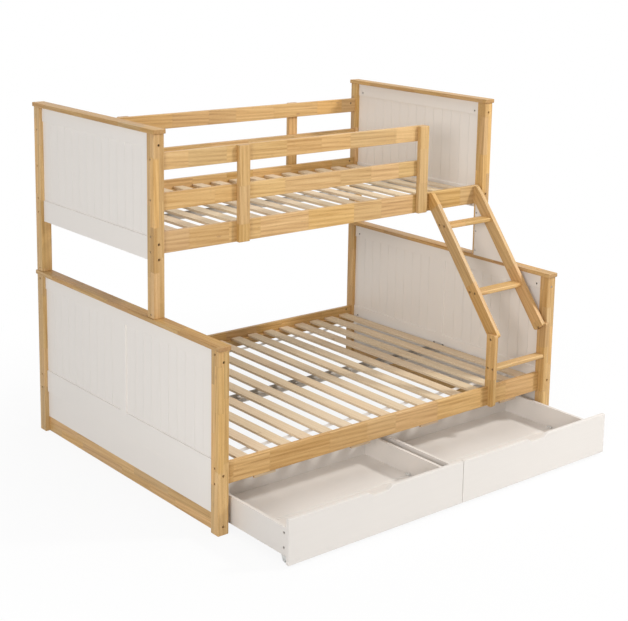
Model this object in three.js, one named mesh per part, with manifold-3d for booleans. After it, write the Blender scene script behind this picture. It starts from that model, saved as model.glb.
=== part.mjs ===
// Bunk bed, single over double, with a slanted ladder and two roll-out drawers under the lower bunk.
// Millimetres, +X along the bed, +Y from the ladder side to the wall side, +Z up.
import * as THREE from 'three';
import { mergeVertices } from 'three/addons/utils/BufferGeometryUtils.js';
import Module from 'manifold-3d';

const wasm = await Module();
wasm.setup();

// Overall frame
const LENGTH = 1990; // over the outer faces of the posts
const WIDTH = 1498; // lower bunk, over the outer faces of the posts
const UPPER_INSET = 467; // how far the upper front posts stand behind the lower ones
const POST = 52; // square section of every post
const LOWER_POST_TOP = 775;
const UPPER_POST_TOP = 1575;
const CAP_THICKNESS = 19;
const CAP_OVERHANG_X = 5;
const CAP_OVERHANG_Y = 8;
const CAP_ROUNDING = 4;
const EDGE = 3; // rounding of the boards' long edges
const SMALL_EDGE = 2; // the same on the base rails and the drawers' sides and backs
const GAP = 0.3; // between pieces that touch but are not glued

// End panels: a rail-and-stile frame with thinner grooved boards set into it
const FRAME_RECESS = 14; // from the posts' outer face to the frame
const FRAME_THICKNESS = 26;
const FIELD_RECESS = 8; // from the frame to the grooved boards, on each side
const TOP_RAIL_HEIGHT = 66;
const STILE_WIDTH = 50;
const GROOVE_PITCH = 65;
const GROOVE_WIDTH = 4;
const GROOVE_DEPTH = 2;
const LOWER_PANEL_BOTTOM = 74;
const LOWER_MID_RAIL = [200, 306];
const UPPER_MID_RAIL = [1036, 1136];
const LOWER_GROOVE_START = 98.5; // from the stile's middle to its first groove

// Side rails, slats and centre beams
const RAIL_HEIGHT = 92;
const RAIL_THICKNESS = 22;
const RAIL_RECESS = 16; // from the posts' front or back face
const LOWER_RAIL_BOTTOM = 206;
const UPPER_RAIL_BOTTOM = 1066.5;
const LEDGER = 20; // square strip that carries the slats
const SLAT_COUNT = 17;
const SLAT_WIDTH = 57;
const SLAT_THICKNESS = 12;
const SLAT_END_GAP = 2.5; // from the outermost slats to the posts
const SLAT_ROUNDING = 2;
const SLAT_PLAY = 2; // from a slat's end to the side rail
const SLAT_SEAT = 44.5; // slat underside above the rail's bottom edge
const STRAP_WIDTH = 25;
const STRAP_THICKNESS = 1.5;
const STRAP_FROM_END = 150;
const STRAP_SHORT = 3; // how far a strap ends inside the outermost slats' edges
const BEAM_WIDTH = 70;
const BEAM_HEIGHT = 20;
const BEAM_WALL = 2.5;
const BEAM_CLEARANCE = 10.5; // from the channel's top to the slats
const BEAM_PLATE = [84, 42]; // end plate, wide and high
const BEAM_PLATE_DROP = 3; // how far the plate reaches below the channel

// Guard rails round the upper bunk
const GUARD_HEIGHT = 74;
const GUARD_BOTTOMS = [1419, 1249];
const UPRIGHT_WIDTH = 58;
const UPRIGHT_THICKNESS = 22;
const FRONT_UPRIGHT_FROM_POST = 405; // left post to the upright's middle
const BACK_UPRIGHT_FROM_POST = 421;
const UPRIGHT_TO_LADDER = 7;

// Ladder
const LADDER_WIDTH = 378;
const LADDER_END_GAP = 2; // from its right leg to the right posts
const LADDER_BOARD = 22; // thickness of stringers and legs
const LEG_FRONT = -18;
const LEG_DEPTH = 54;
const LEG_SPAN = [204, 556];
const LEG_ROUNDINGS = [14, 6, 0, 4, 6, 8];
const STRINGER_LEAN = 0.773; // run back for each unit of rise
const STRINGER_LINE = [24, 600]; // a point on its front edge, back from the lower posts' faces and up
const STRINGER_RUN = 78; // depth of a stringer measured level
const STRINGER_FOOT = 548;
const STRINGER_REST = 3; // its step above the upper rail's bottom edge
const STRINGER_BROW = [6, 45]; // where its rounded top starts, back and down
const STRINGER_ROUNDINGS = [10, 12, 0, 0, 12, 20, 60];
const RUNG_TOPS = [1016, 729, 398];
const RUNG_THICKNESS = 20;
const RUNG_DEPTH = 64;
const LOW_RUNG_DEPTH = 46;
const LOW_RUNG_SETBACK = 4;
const RUNG_ROUNDINGS = [7, 4, 4, 5];

// Gusset board inside the upper right front post
const GUSSET_THICKNESS = 12;
const GUSSET_BACK = 30; // from the post's front face
const GUSSET_FOOT = 235; // depth where it stands on the cap
const GUSSET_HEAD = 34; // depth at its top
const GUSSET_TOP = 1060;
const GUSSET_ROUNDINGS = [12, 0, 0, 8];

// Drawers
const DRAWER_GAP = 3; // between the fronts, and from a front to a post
const DRAWER_OPEN = 410; // how far they stand open here
const FRONT_THICKNESS = 18;
const FRONT_SPAN = [12, 201];
const SIDE_INSET = 19; // from the ends of the front
const SIDE_THICKNESS = 15;
const SIDE_SPAN = [30, 148];
const BOX_DEPTH = 595; // behind the front
const FLOOR_TOP = 48;
const FLOOR_THICKNESS = 4;
const FLOOR_TONGUE = 5; // how far the floor goes into its grooves
const JOINT_STRIP = 18;
const JOINT_FROM_FRONT = 280; // from the front board to the strip's middle
const NOTCH_TOP = 131;
const NOTCH_BOTTOM = 78;
const NOTCH_DEPTH = 16;
const STOP_LENGTH = 110;
const STOP_OFFSET = 262; // from each drawer's middle
const STOP_BOTTOM = 185;
const STOP_THICKNESS = 12;
const WHEEL_RADIUS = 14;
const WHEEL_WIDTH = 11;
const AXLE_RADIUS = 3;
const AXLE_PLAY = 0.4;
const WHEEL_FROM_END = 36;
const WHEEL_TO_CHEEK = 0.7;
const TREAD_ROUNDING = 2;
const CHEEK_THICKNESS = 2.2;
const CHEEK_HALF_WIDTHS = [17, 7]; // at the drawer side's foot and at its own
const CHEEK_FOOT = 5;
const CHEEK_RISE = 8; // how far it reaches up the drawer side
const CHEEK_INTO_SIDE = 0.5;
const AXLE_INTO_CHEEK = 1;
const NOTCH_ROUNDINGS = [12, 16]; // its upper and lower corners
const FRONT_ROUNDING = 2;

// Bolts: holes in the posts and drawer sides, barrel nuts in the end panels
const PANEL_BOLT_RADIUS = 4.5;
const RAIL_BOLT_RADIUS = 4;
const POST_HOLE_DEPTH = 12;
const TOP_RAIL_BOLT = 47.5; // below the posts' tops
const UPPER_MID_RAIL_BOLTS = [11, 24]; // from the rail's bottom and top edges
const SIDE_RAIL_BOLTS = [12, 14]; // from the rail's bottom and top edges
const GUARD_BOLT = 12; // above the rail's middle
const JOINT_BOLTS = [17, 16]; // below and above the lower caps
const NUT_RADIUS = 4.5;
const NUT_DEPTH = 9;
const NUT_FROM_POST = 33;
const DRAWER_BOLT_RADIUS = 3.5;
const DRAWER_BOLTS = [32, 24]; // from the side's bottom and top edges
const DRAWER_BOLT_FROM_FRONT = 38;

// Sizes that follow from the ones above
const INNER = [POST, LENGTH - POST];
const CAP_TOP = LOWER_POST_TOP + CAP_THICKNESS;
const RAIL_FRONT_Y = { lower: RAIL_RECESS, upper: UPPER_INSET + RAIL_RECESS };
const RAIL_BACK_Y = WIDTH - RAIL_RECESS - RAIL_THICKNESS;
const RAIL_BOTTOM = { lower: LOWER_RAIL_BOTTOM, upper: UPPER_RAIL_BOTTOM };
const FRAME_X = [FRAME_RECESS, FRAME_RECESS + FRAME_THICKNESS];
const FIELD_X = [FRAME_X[0] + FIELD_RECESS, FRAME_X[1] - FIELD_RECESS];
const STOP_Y = RAIL_FRONT_Y.lower + RAIL_THICKNESS;
const FRONT_BACK_Y = STOP_Y - DRAWER_OPEN;
const FRONT_WIDTH = (LENGTH - 2 * POST - 3 * DRAWER_GAP) / 2;
const UPPER_RAIL_FACE = RAIL_FRONT_Y.upper;
const SLAT_PITCH = (INNER[1] - INNER[0] - 2 * SLAT_END_GAP - SLAT_WIDTH) / (SLAT_COUNT - 1);
const LADDER_RIGHT = INNER[1] - LADDER_END_GAP;
const LADDER_LEFT = LADDER_RIGHT - LADDER_WIDTH;
const FRONT_UPRIGHTS = [
  INNER[0] + FRONT_UPRIGHT_FROM_POST,
  LADDER_LEFT - UPRIGHT_TO_LADDER - UPRIGHT_WIDTH / 2,
];
const BACK_UPRIGHTS = [INNER[0] + BACK_UPRIGHT_FROM_POST, INNER[1] - BACK_UPRIGHT_FROM_POST];
const Y_MIDDLE = (FRONT_BACK_Y - FRONT_THICKNESS + WIDTH + CAP_OVERHANG_Y) / 2;

// Looks of the pieces
const FINISH = {
  wood: { color: 0xd8a765, roughness: 0.45, metalness: 0 },
  painted: { color: 0xded9d3, roughness: 0.5, metalness: 0 },
  slat: { color: 0xdcc3a0, roughness: 0.7, metalness: 0 },
  steel: { color: 0xc3c1bc, roughness: 0.45, metalness: 0.3 },
  wheel: { color: 0x6f7673, roughness: 0.6, metalness: 0 },
};

const group = new THREE.Group();
group.name = 'bunk_bed';

// A closed triangle mesh as a solid that can be joined and cut
function solid(geometry) {
  const bare = geometry.clone();
  bare.deleteAttribute('normal');
  bare.deleteAttribute('uv');
  const merged = mergeVertices(bare, 1e-4);
  const mesh = new wasm.Mesh({
    numProp: 3,
    vertProperties: Float32Array.from(merged.attributes.position.array),
    triVerts: Uint32Array.from(merged.index.array),
  });
  return new wasm.Manifold(mesh);
}

// A named piece in the scene
function piece(name, body, finish) {
  const mesh = body.getMesh();
  const geometry = new THREE.BufferGeometry();
  geometry.setAttribute('position', new THREE.BufferAttribute(mesh.vertProperties, 3));
  geometry.setIndex(new THREE.BufferAttribute(mesh.triVerts, 1));
  geometry.computeVertexNormals();
  const material = new THREE.MeshStandardMaterial({ ...FINISH[finish], flatShading: true });
  const object = new THREE.Mesh(geometry, material);
  object.name = name;
  group.add(object);
}

// The profile's first and second axes for each direction of run
const AXES = {
  x: ['y', 'z'],
  y: ['z', 'x'],
  z: ['x', 'y'],
};

function unit(axis) {
  return new THREE.Vector3(axis === 'x' ? 1 : 0, axis === 'y' ? 1 : 0, axis === 'z' ? 1 : 0);
}

// A profile of [first, second] points run along an axis from start to end
function run(points, along, start, end) {
  const shape = new THREE.Shape(points.map(([a, b]) => new THREE.Vector2(a, b)));
  const geometry = new THREE.ExtrudeGeometry(shape, { depth: end - start, bevelEnabled: false });
  geometry.translate(0, 0, start);
  const [first, second] = AXES[along];
  geometry.applyMatrix4(new THREE.Matrix4().makeBasis(unit(first), unit(second), unit(along)));
  return solid(geometry);
}

// A polygon with each corner rounded by its own radius
function rounded(points, radii, steps = 2) {
  const out = [];
  const n = points.length;
  for (let i = 0; i < n; i++) {
    const p = new THREE.Vector2(...points[i]);
    const a = new THREE.Vector2(...points[(i + n - 1) % n]).sub(p).normalize();
    const b = new THREE.Vector2(...points[(i + 1) % n]).sub(p).normalize();
    const r = Array.isArray(radii) ? radii[i] : radii;
    if (r === 0) {
      out.push([p.x, p.y]);
      continue;
    }
    const half = Math.acos(THREE.MathUtils.clamp(a.dot(b), -1, 1)) / 2;
    const middle = a.clone().add(b).normalize().multiplyScalar(r / Math.sin(half)).add(p);
    const from = a.clone().multiplyScalar(r / Math.tan(half)).add(p).sub(middle);
    const to = b.clone().multiplyScalar(r / Math.tan(half)).add(p).sub(middle);
    const turn = Math.atan2(from.cross(to), from.dot(to));
    for (let k = 0; k <= steps; k++) {
      const q = from.clone().rotateAround(new THREE.Vector2(), (turn * k) / steps).add(middle);
      out.push([q.x, q.y]);
    }
  }
  return out;
}

// A board given by its spans in x, y and z, with its long edges rounded
function board(x, y, z, along, edge = EDGE, steps = 2) {
  const span = { x: [...x].sort((a, b) => a - b), y, z };
  const [first, second] = AXES[along];
  const [a0, a1] = span[first];
  const [b0, b1] = span[second];
  const corners = [[a0, b0], [a1, b0], [a1, b1], [a0, b1]];
  return run(edge ? rounded(corners, edge, steps) : corners, along, span[along][0], span[along][1]);
}

// A drilled hole: a short cylinder that starts just outside a face and runs in along an axis
function drill(axis, sign, at, radius, depth, sides = 8) {
  const geometry = new THREE.CylinderGeometry(radius, radius, depth + 1, sides);
  if (axis === 'x') geometry.rotateZ(Math.PI / 2);
  if (axis === 'z') geometry.rotateX(Math.PI / 2);
  const middle = new THREE.Vector3(...at).addScaledVector(unit(axis), (sign * (depth - 1)) / 2);
  geometry.translate(middle.x, middle.y, middle.z);
  return solid(geometry);
}

function cut(body, tools) {
  return tools.reduce((left, tool) => left.subtract(tool), body);
}

function join(bodies) {
  return bodies.reduce((sum, body) => sum.add(body));
}

// Left end as modelled, right end mirrored
const endX = { left: (x) => x, right: (x) => LENGTH - x };
const inward = { left: 1, right: -1 };

// Bolt heights: end panels are bolted from the front and back, side rails from the ends
const PANEL_BOLTS = {
  lower: [LOWER_POST_TOP - TOP_RAIL_BOLT, (LOWER_MID_RAIL[0] + LOWER_MID_RAIL[1]) / 2],
  upper: [UPPER_POST_TOP - TOP_RAIL_BOLT, UPPER_MID_RAIL[1] - UPPER_MID_RAIL_BOLTS[1],
    UPPER_MID_RAIL[0] + UPPER_MID_RAIL_BOLTS[0]],
};
const sideRailBolts = (bottom) => [bottom + RAIL_HEIGHT - SIDE_RAIL_BOLTS[1], bottom + SIDE_RAIL_BOLTS[0]];
const POST_BOLTS = {
  lower: {
    panel: [...PANEL_BOLTS.lower, LOWER_PANEL_BOTTOM / 2],
    rail: [LOWER_POST_TOP - JOINT_BOLTS[0], ...sideRailBolts(LOWER_RAIL_BOTTOM)],
  },
  upper: {
    panel: PANEL_BOLTS.upper,
    rail: [...GUARD_BOTTOMS.map((bottom) => bottom + GUARD_HEIGHT / 2 + GUARD_BOLT),
      ...sideRailBolts(UPPER_RAIL_BOTTOM), CAP_TOP + JOINT_BOLTS[1]],
  },
};

function post(level, end, face) {
  const front = face === 'front' ? (level === 'upper' ? UPPER_INSET : 0) : WIDTH - POST;
  const x = [endX[end](0), endX[end](POST)];
  const z = level === 'upper' ? [CAP_TOP, UPPER_POST_TOP] : [0, LOWER_POST_TOP];
  const body = board(x, [front, front + POST], z, 'z');
  const bolts = POST_BOLTS[level];
  const outside = face === 'front' ? front : front + POST;
  const holes = [];
  for (const height of bolts.panel) {
    const at = [endX[end](POST / 2), outside, height];
    holes.push(drill('y', face === 'front' ? 1 : -1, at, PANEL_BOLT_RADIUS, POST_HOLE_DEPTH));
  }
  for (const height of bolts.rail) {
    const at = [endX[end](0), front + POST / 2, height];
    holes.push(drill('x', inward[end], at, RAIL_BOLT_RADIUS, POST_HOLE_DEPTH));
  }
  return cut(body, holes);
}

// A cap board along the top of an end, softened all round
function cap(level, end) {
  const x0 = Math.min(endX[end](0), endX[end](POST)) - CAP_OVERHANG_X;
  const x1 = x0 + POST + 2 * CAP_OVERHANG_X;
  const y0 = (level === 'upper' ? UPPER_INSET : 0) - CAP_OVERHANG_Y;
  const y1 = WIDTH + CAP_OVERHANG_Y;
  const z0 = level === 'upper' ? UPPER_POST_TOP : LOWER_POST_TOP;
  const soft = CAP_ROUNDING;
  const outline = rounded([[x0 + soft, y0 + soft], [x1 - soft, y0 + soft],
    [x1 - soft, y1 - soft], [x0 + soft, y1 - soft]], soft);
  const shape = new THREE.Shape(outline.map(([a, b]) => new THREE.Vector2(a, b)));
  const geometry = new THREE.ExtrudeGeometry(shape, {
    depth: CAP_THICKNESS - 2 * soft,
    bevelThickness: soft,
    bevelSize: soft,
    bevelSegments: 2,
  });
  geometry.translate(0, 0, z0 + soft);
  return solid(geometry);
}

// One field of grooved boards between two heights, its grooves on both faces
function beadboard(end, y, z, grooves) {
  const toX = endX[end];
  const face = (x, depth, list) => {
    const points = [];
    for (const g of list) {
      points.push([toX(x), g - Math.sign(list.at(-1) - list[0]) * GROOVE_WIDTH / 2]);
      points.push([toX(x + depth), g]);
      points.push([toX(x), g + Math.sign(list.at(-1) - list[0]) * GROOVE_WIDTH / 2]);
    }
    return points;
  };
  const inside = grooves.filter((g) => g > y[0] + GROOVE_WIDTH && g < y[1] - GROOVE_WIDTH);
  const outer = face(FIELD_X[0], GROOVE_DEPTH, inside);
  const inner = face(FIELD_X[1], -GROOVE_DEPTH, [...inside].reverse());
  const outline = [[toX(FIELD_X[0]), y[0]], ...outer, [toX(FIELD_X[0]), y[1]],
    [toX(FIELD_X[1]), y[1]], ...inner, [toX(FIELD_X[1]), y[0]]];
  return run(outline, 'z', z[0] - 1, z[1] + 1);
}

function endPanel(level, end) {
  const toX = endX[end];
  const y = [level === 'upper' ? UPPER_INSET + POST : POST, WIDTH - POST];
  const middle = (y[0] + y[1]) / 2;
  const top = level === 'upper' ? UPPER_POST_TOP : LOWER_POST_TOP;
  const mid = level === 'upper' ? UPPER_MID_RAIL : LOWER_MID_RAIL;
  const frame = [toX(FRAME_X[0]), toX(FRAME_X[1])];
  const parts = [
    board(frame, y, [top - TOP_RAIL_HEIGHT, top], 'y', 0),
    board(frame, y, mid, 'y', 0),
  ];
  const half = Math.ceil((y[1] - y[0]) / 2 / GROOVE_PITCH);
  const grooves = [];
  for (let k = -half; k <= half; k++) {
    const side = level === 'upper' ? k * GROOVE_PITCH
      : Math.sign(k) * LOWER_GROOVE_START + (k - Math.sign(k)) * GROOVE_PITCH;
    if (level === 'upper' || k !== 0) grooves.push(middle + side);
  }
  const field = [mid[1], top - TOP_RAIL_HEIGHT];
  if (level === 'upper') {
    parts.push(beadboard(end, y, field, grooves));
  } else {
    parts.push(beadboard(end, [y[0], middle], field, grooves));
    parts.push(beadboard(end, [middle, y[1]], field, grooves));
    parts.push(board(frame, [middle - STILE_WIDTH / 2, middle + STILE_WIDTH / 2], field, 'z', 0));
    parts.push(board([toX(FIELD_X[0]), toX(FIELD_X[1])], y, [LOWER_PANEL_BOTTOM, mid[0] + 1], 'y', 0));
  }
  const nuts = [];
  for (const height of PANEL_BOLTS[level]) {
    for (const at of [y[0] + NUT_FROM_POST, y[1] - NUT_FROM_POST]) {
      nuts.push(drill('x', -inward[end], [toX(FRAME_X[1]), at, height], NUT_RADIUS, NUT_DEPTH));
    }
  }
  return cut(join(parts), nuts);
}

function baseRail(end) {
  const x = [endX[end](FIELD_X[0]), endX[end](FRAME_X[1])];
  return board(x, [POST, WIDTH - POST], [0, LOWER_PANEL_BOTTOM], 'y', SMALL_EDGE);
}

for (const end of ['left', 'right']) {
  for (const level of ['lower', 'upper']) {
    for (const face of ['front', 'back']) {
      piece(`${level}_${end}_${face}_post`, post(level, end, face), 'wood');
    }
    piece(`${level}_${end}_cap`, cap(level, end), 'wood');
    piece(`${level}_${end}_end_panel`, endPanel(level, end), 'painted');
  }
  piece(`lower_${end}_base_rail`, baseRail(end), 'wood');
}

// Gusset board that ties the upper right front post to the cap below it
function gusset() {
  const back = UPPER_INSET + GUSSET_BACK;
  const outline = [[back - GUSSET_FOOT, CAP_TOP], [back, CAP_TOP], [back, GUSSET_TOP],
    [back - GUSSET_HEAD, GUSSET_TOP]];
  return run(rounded(outline, GUSSET_ROUNDINGS), 'x', INNER[1] - GUSSET_THICKNESS, INNER[1]);
}

piece('upper_right_gusset', gusset(), 'painted');

// A side rail with its slat ledger, and on the lower front one the drawer stops
function sideRail(level, face) {
  const bottom = RAIL_BOTTOM[level];
  const front = face === 'front' ? RAIL_FRONT_Y[level] : RAIL_BACK_Y;
  const seat = bottom + SLAT_SEAT;
  const ledgerY = face === 'front'
    ? [front + RAIL_THICKNESS - 1, front + RAIL_THICKNESS + LEDGER]
    : [front - LEDGER, front + 1];
  const parts = [
    board(INNER, [front, front + RAIL_THICKNESS], [bottom, bottom + RAIL_HEIGHT], 'x'),
    board(INNER, ledgerY, [seat - LEDGER, seat], 'x', 0),
  ];
  if (level === 'lower' && face === 'front') {
    for (const middle of drawerMiddles()) {
      for (const sign of [-1, 1]) {
        const centre = middle + sign * STOP_OFFSET;
        const x = [centre - STOP_LENGTH / 2, centre + STOP_LENGTH / 2];
        parts.push(board(x, [STOP_Y, STOP_Y + STOP_THICKNESS], [STOP_BOTTOM, seat - 1], 'x', 0));
      }
    }
  }
  return join(parts);
}

function drawerMiddles() {
  const first = POST + DRAWER_GAP + FRONT_WIDTH / 2;
  return [first, LENGTH - first];
}

// The slats and the two straps that hold them in a row
function slats(level) {
  const seat = RAIL_BOTTOM[level] + SLAT_SEAT;
  const y = [RAIL_FRONT_Y[level] + RAIL_THICKNESS + SLAT_PLAY, RAIL_BACK_Y - SLAT_PLAY];
  const start = INNER[0] + SLAT_END_GAP;
  const bodies = [];
  for (let i = 0; i < SLAT_COUNT; i++) {
    const x = start + i * SLAT_PITCH;
    bodies.push(board([x, x + SLAT_WIDTH], y, [seat, seat + SLAT_THICKNESS], 'y', SLAT_ROUNDING, 1));
  }
  for (const middle of [y[0] + STRAP_FROM_END, y[1] - STRAP_FROM_END]) {
    const span = [middle - STRAP_WIDTH / 2, middle + STRAP_WIDTH / 2];
    const length = [start + STRAP_SHORT, LENGTH - start - STRAP_SHORT];
    bodies.push(board(length, span, [seat - STRAP_THICKNESS, seat + STRAP_THICKNESS], 'x', 0));
  }
  return join(bodies);
}

// Folded steel channel under the middle of the slats, with a bolted plate at each end
function centreBeam(level) {
  const top = RAIL_BOTTOM[level] + SLAT_SEAT - BEAM_CLEARANCE;
  const front = level === 'upper' ? UPPER_INSET : 0;
  const middle = (front + WIDTH) / 2;
  const [y0, y1] = [middle - BEAM_WIDTH / 2, middle + BEAM_WIDTH / 2];
  const z0 = top - BEAM_HEIGHT;
  const profile = [[y0, z0], [y1, z0], [y1, top], [y1 - BEAM_WALL, top],
    [y1 - BEAM_WALL, z0 + BEAM_WALL], [y0 + BEAM_WALL, z0 + BEAM_WALL], [y0 + BEAM_WALL, top], [y0, top]];
  const ends = [FRAME_X[1], LENGTH - FRAME_X[1]];
  const bodies = [run(profile, 'x', ends[0] + BEAM_WALL / 2, ends[1] - BEAM_WALL / 2)];
  const plateY = [middle - BEAM_PLATE[0] / 2, middle + BEAM_PLATE[0] / 2];
  const plateZ = [z0 - BEAM_PLATE_DROP, z0 - BEAM_PLATE_DROP + BEAM_PLATE[1]];
  for (const [x, sign] of [[ends[0], 1], [ends[1], -1]]) {
    bodies.push(board([x, x + sign * BEAM_WALL], plateY, plateZ, 'x', 0));
  }
  return join(bodies);
}

for (const level of ['upper', 'lower']) {
  piece(`${level}_front_side_rail`, sideRail(level, 'front'), 'wood');
  piece(`${level}_back_side_rail`, sideRail(level, 'back'), 'wood');
  piece(`${level}_slats`, slats(level), 'slat');
  piece(`${level}_centre_beam`, centreBeam(level), 'steel');
}

// Guard rails in line with the side rails, and the uprights screwed to their outer faces
const GUARD_NAMES = ['top', 'lower'];
const uprightZ = [UPPER_RAIL_BOTTOM, GUARD_BOTTOMS[0] + GUARD_HEIGHT];
const guardEnd = FRONT_UPRIGHTS[1] + UPRIGHT_WIDTH / 2;
GUARD_BOTTOMS.forEach((bottom, i) => {
  const z = [bottom, bottom + GUARD_HEIGHT];
  const front = board([POST, guardEnd], [UPPER_RAIL_FACE, UPPER_RAIL_FACE + RAIL_THICKNESS], z, 'x');
  const back = board(INNER, [RAIL_BACK_Y, RAIL_BACK_Y + RAIL_THICKNESS], z, 'x');
  piece(`guard_front_${GUARD_NAMES[i]}_rail`, front, 'wood');
  piece(`guard_back_${GUARD_NAMES[i]}_rail`, back, 'wood');
});
['left', 'right'].forEach((side, i) => {
  const frontX = [FRONT_UPRIGHTS[i] - UPRIGHT_WIDTH / 2, FRONT_UPRIGHTS[i] + UPRIGHT_WIDTH / 2];
  const backX = [BACK_UPRIGHTS[i] - UPRIGHT_WIDTH / 2, BACK_UPRIGHTS[i] + UPRIGHT_WIDTH / 2];
  const frontY = [UPPER_RAIL_FACE - UPRIGHT_THICKNESS, UPPER_RAIL_FACE];
  const backY = [RAIL_BACK_Y + RAIL_THICKNESS, RAIL_BACK_Y + RAIL_THICKNESS + UPRIGHT_THICKNESS];
  piece(`guard_front_${side}_upright`, board(frontX, frontY, uprightZ, 'z'), 'wood');
  piece(`guard_back_${side}_upright`, board(backX, backY, uprightZ, 'z'), 'wood');
});

// Ladder: the slanted stringers stand between the legs that hook over the lower side rail
function stringerFront(z) {
  return STRINGER_LINE[0] + STRINGER_LEAN * (z - STRINGER_LINE[1]);
}

function stringer(x) {
  const railFace = UPPER_RAIL_FACE - GAP;
  const top = UPPER_RAIL_BOTTOM + RAIL_HEIGHT;
  const step = UPPER_RAIL_BOTTOM + STRINGER_REST;
  const foot = [stringerFront(STRINGER_FOOT), STRINGER_FOOT];
  const drop = (STRINGER_RUN * STRINGER_LEAN) / (1 + STRINGER_LEAN ** 2);
  const heel = [foot[0] + drop / STRINGER_LEAN, STRINGER_FOOT - drop];
  const outline = [foot, heel,
    [stringerFront(step) + STRINGER_RUN, step],
    [railFace, step],
    [railFace, top],
    [stringerFront(top) + STRINGER_BROW[0], top],
    [stringerFront(top - STRINGER_BROW[1]), top - STRINGER_BROW[1]]];
  return run(rounded(outline, STRINGER_ROUNDINGS, 3), 'x', x, x + LADDER_BOARD);
}

function leg(x) {
  const back = LEG_FRONT + LEG_DEPTH;
  const face = RAIL_RECESS - GAP;
  const seat = LOWER_RAIL_BOTTOM + RAIL_HEIGHT + GAP;
  const outline = [[LEG_FRONT, LEG_SPAN[0]], [face, LEG_SPAN[0]], [face, seat], [back, seat],
    [back, LEG_SPAN[1]], [LEG_FRONT, LEG_SPAN[1]]];
  return run(rounded(outline, LEG_ROUNDINGS, 3), 'x', x, x + LADDER_BOARD);
}

function rung(x, y, top) {
  const [y0, y1] = y;
  const z0 = top - RUNG_THICKNESS;
  return run(rounded([[y0, z0], [y1, z0], [y1, top], [y0, top]], RUNG_ROUNDINGS, 3), 'x', x[0], x[1]);
}

const legX = [LADDER_LEFT, LADDER_RIGHT - LADDER_BOARD];
const stringerX = [legX[0] + LADDER_BOARD, legX[1] - LADDER_BOARD];
['left', 'right'].forEach((side, i) => {
  piece(`ladder_${side}_stringer`, stringer(stringerX[i]), 'wood');
  piece(`ladder_${side}_leg`, leg(legX[i]), 'wood');
});
const betweenStringers = [stringerX[0] + LADDER_BOARD, stringerX[1]];
const betweenLegs = [legX[0] + LADDER_BOARD, legX[1]];
const rungInset = (STRINGER_RUN - RUNG_DEPTH) / 2;
['top', 'middle'].forEach((name, i) => {
  const y0 = stringerFront(RUNG_TOPS[i]) + rungInset;
  piece(`ladder_${name}_rung`, rung(betweenStringers, [y0, y0 + RUNG_DEPTH], RUNG_TOPS[i]), 'wood');
});
const lowRungY = [LEG_FRONT + LOW_RUNG_SETBACK, LEG_FRONT + LOW_RUNG_SETBACK + LOW_RUNG_DEPTH];
piece('ladder_bottom_rung', rung(betweenLegs, lowRungY, RUNG_TOPS[2]), 'wood');

// Drawer front with a finger notch in the middle of its top edge
function drawerFront(middle) {
  const [z0, z1] = FRONT_SPAN;
  const [x0, x1] = [middle - FRONT_WIDTH / 2, middle + FRONT_WIDTH / 2];
  const y = [FRONT_BACK_Y - FRONT_THICKNESS, FRONT_BACK_Y];
  const outline = [[z0, x0], [z0, x1], [z1, x1], [z1, middle + NOTCH_TOP / 2],
    [z1 - NOTCH_DEPTH, middle + NOTCH_BOTTOM / 2], [z1 - NOTCH_DEPTH, middle - NOTCH_BOTTOM / 2],
    [z1, middle - NOTCH_TOP / 2], [z1, x0]];
  const [upper, lower] = NOTCH_ROUNDINGS;
  const soft = FRONT_ROUNDING;
  const radii = [soft, soft, soft, upper, lower, lower, upper, soft];
  const body = run(rounded(outline, radii, 3), 'y', y[0], y[1]);
  const wall = SIDE_INSET + SIDE_THICKNESS - FLOOR_TONGUE;
  const inside = [x0 + wall, x1 - wall];
  return body.subtract(floorGroove(inside, [FRONT_BACK_Y - FLOOR_TONGUE, FRONT_BACK_Y + 1]));
}

// The slot that the drawer floor slides into
function floorGroove(x, y) {
  return board(x, y, [FLOOR_TOP - FLOOR_THICKNESS - GAP, FLOOR_TOP + GAP], 'y', 0);
}

const WHEEL_YS = [FRONT_BACK_Y + WHEEL_FROM_END, FRONT_BACK_Y + BOX_DEPTH - WHEEL_FROM_END];

// One cheek of a wheel's fork, from just above the drawer side's foot to just above the floor
function cheek(x, wheelY) {
  const [broad, narrow] = CHEEK_HALF_WIDTHS;
  const top = SIDE_SPAN[0] + CHEEK_RISE;
  const foot = SIDE_SPAN[0];
  const outline = [[wheelY - broad, top], [wheelY - broad, foot], [wheelY - narrow, CHEEK_FOOT],
    [wheelY + narrow, CHEEK_FOOT], [wheelY + broad, foot], [wheelY + broad, top]];
  const [x0, x1] = [...x].sort((a, b) => a - b);
  return run(rounded(outline, [0, 0, narrow - 1, narrow - 1, 0, 0]), 'x', x0, x1);
}

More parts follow.
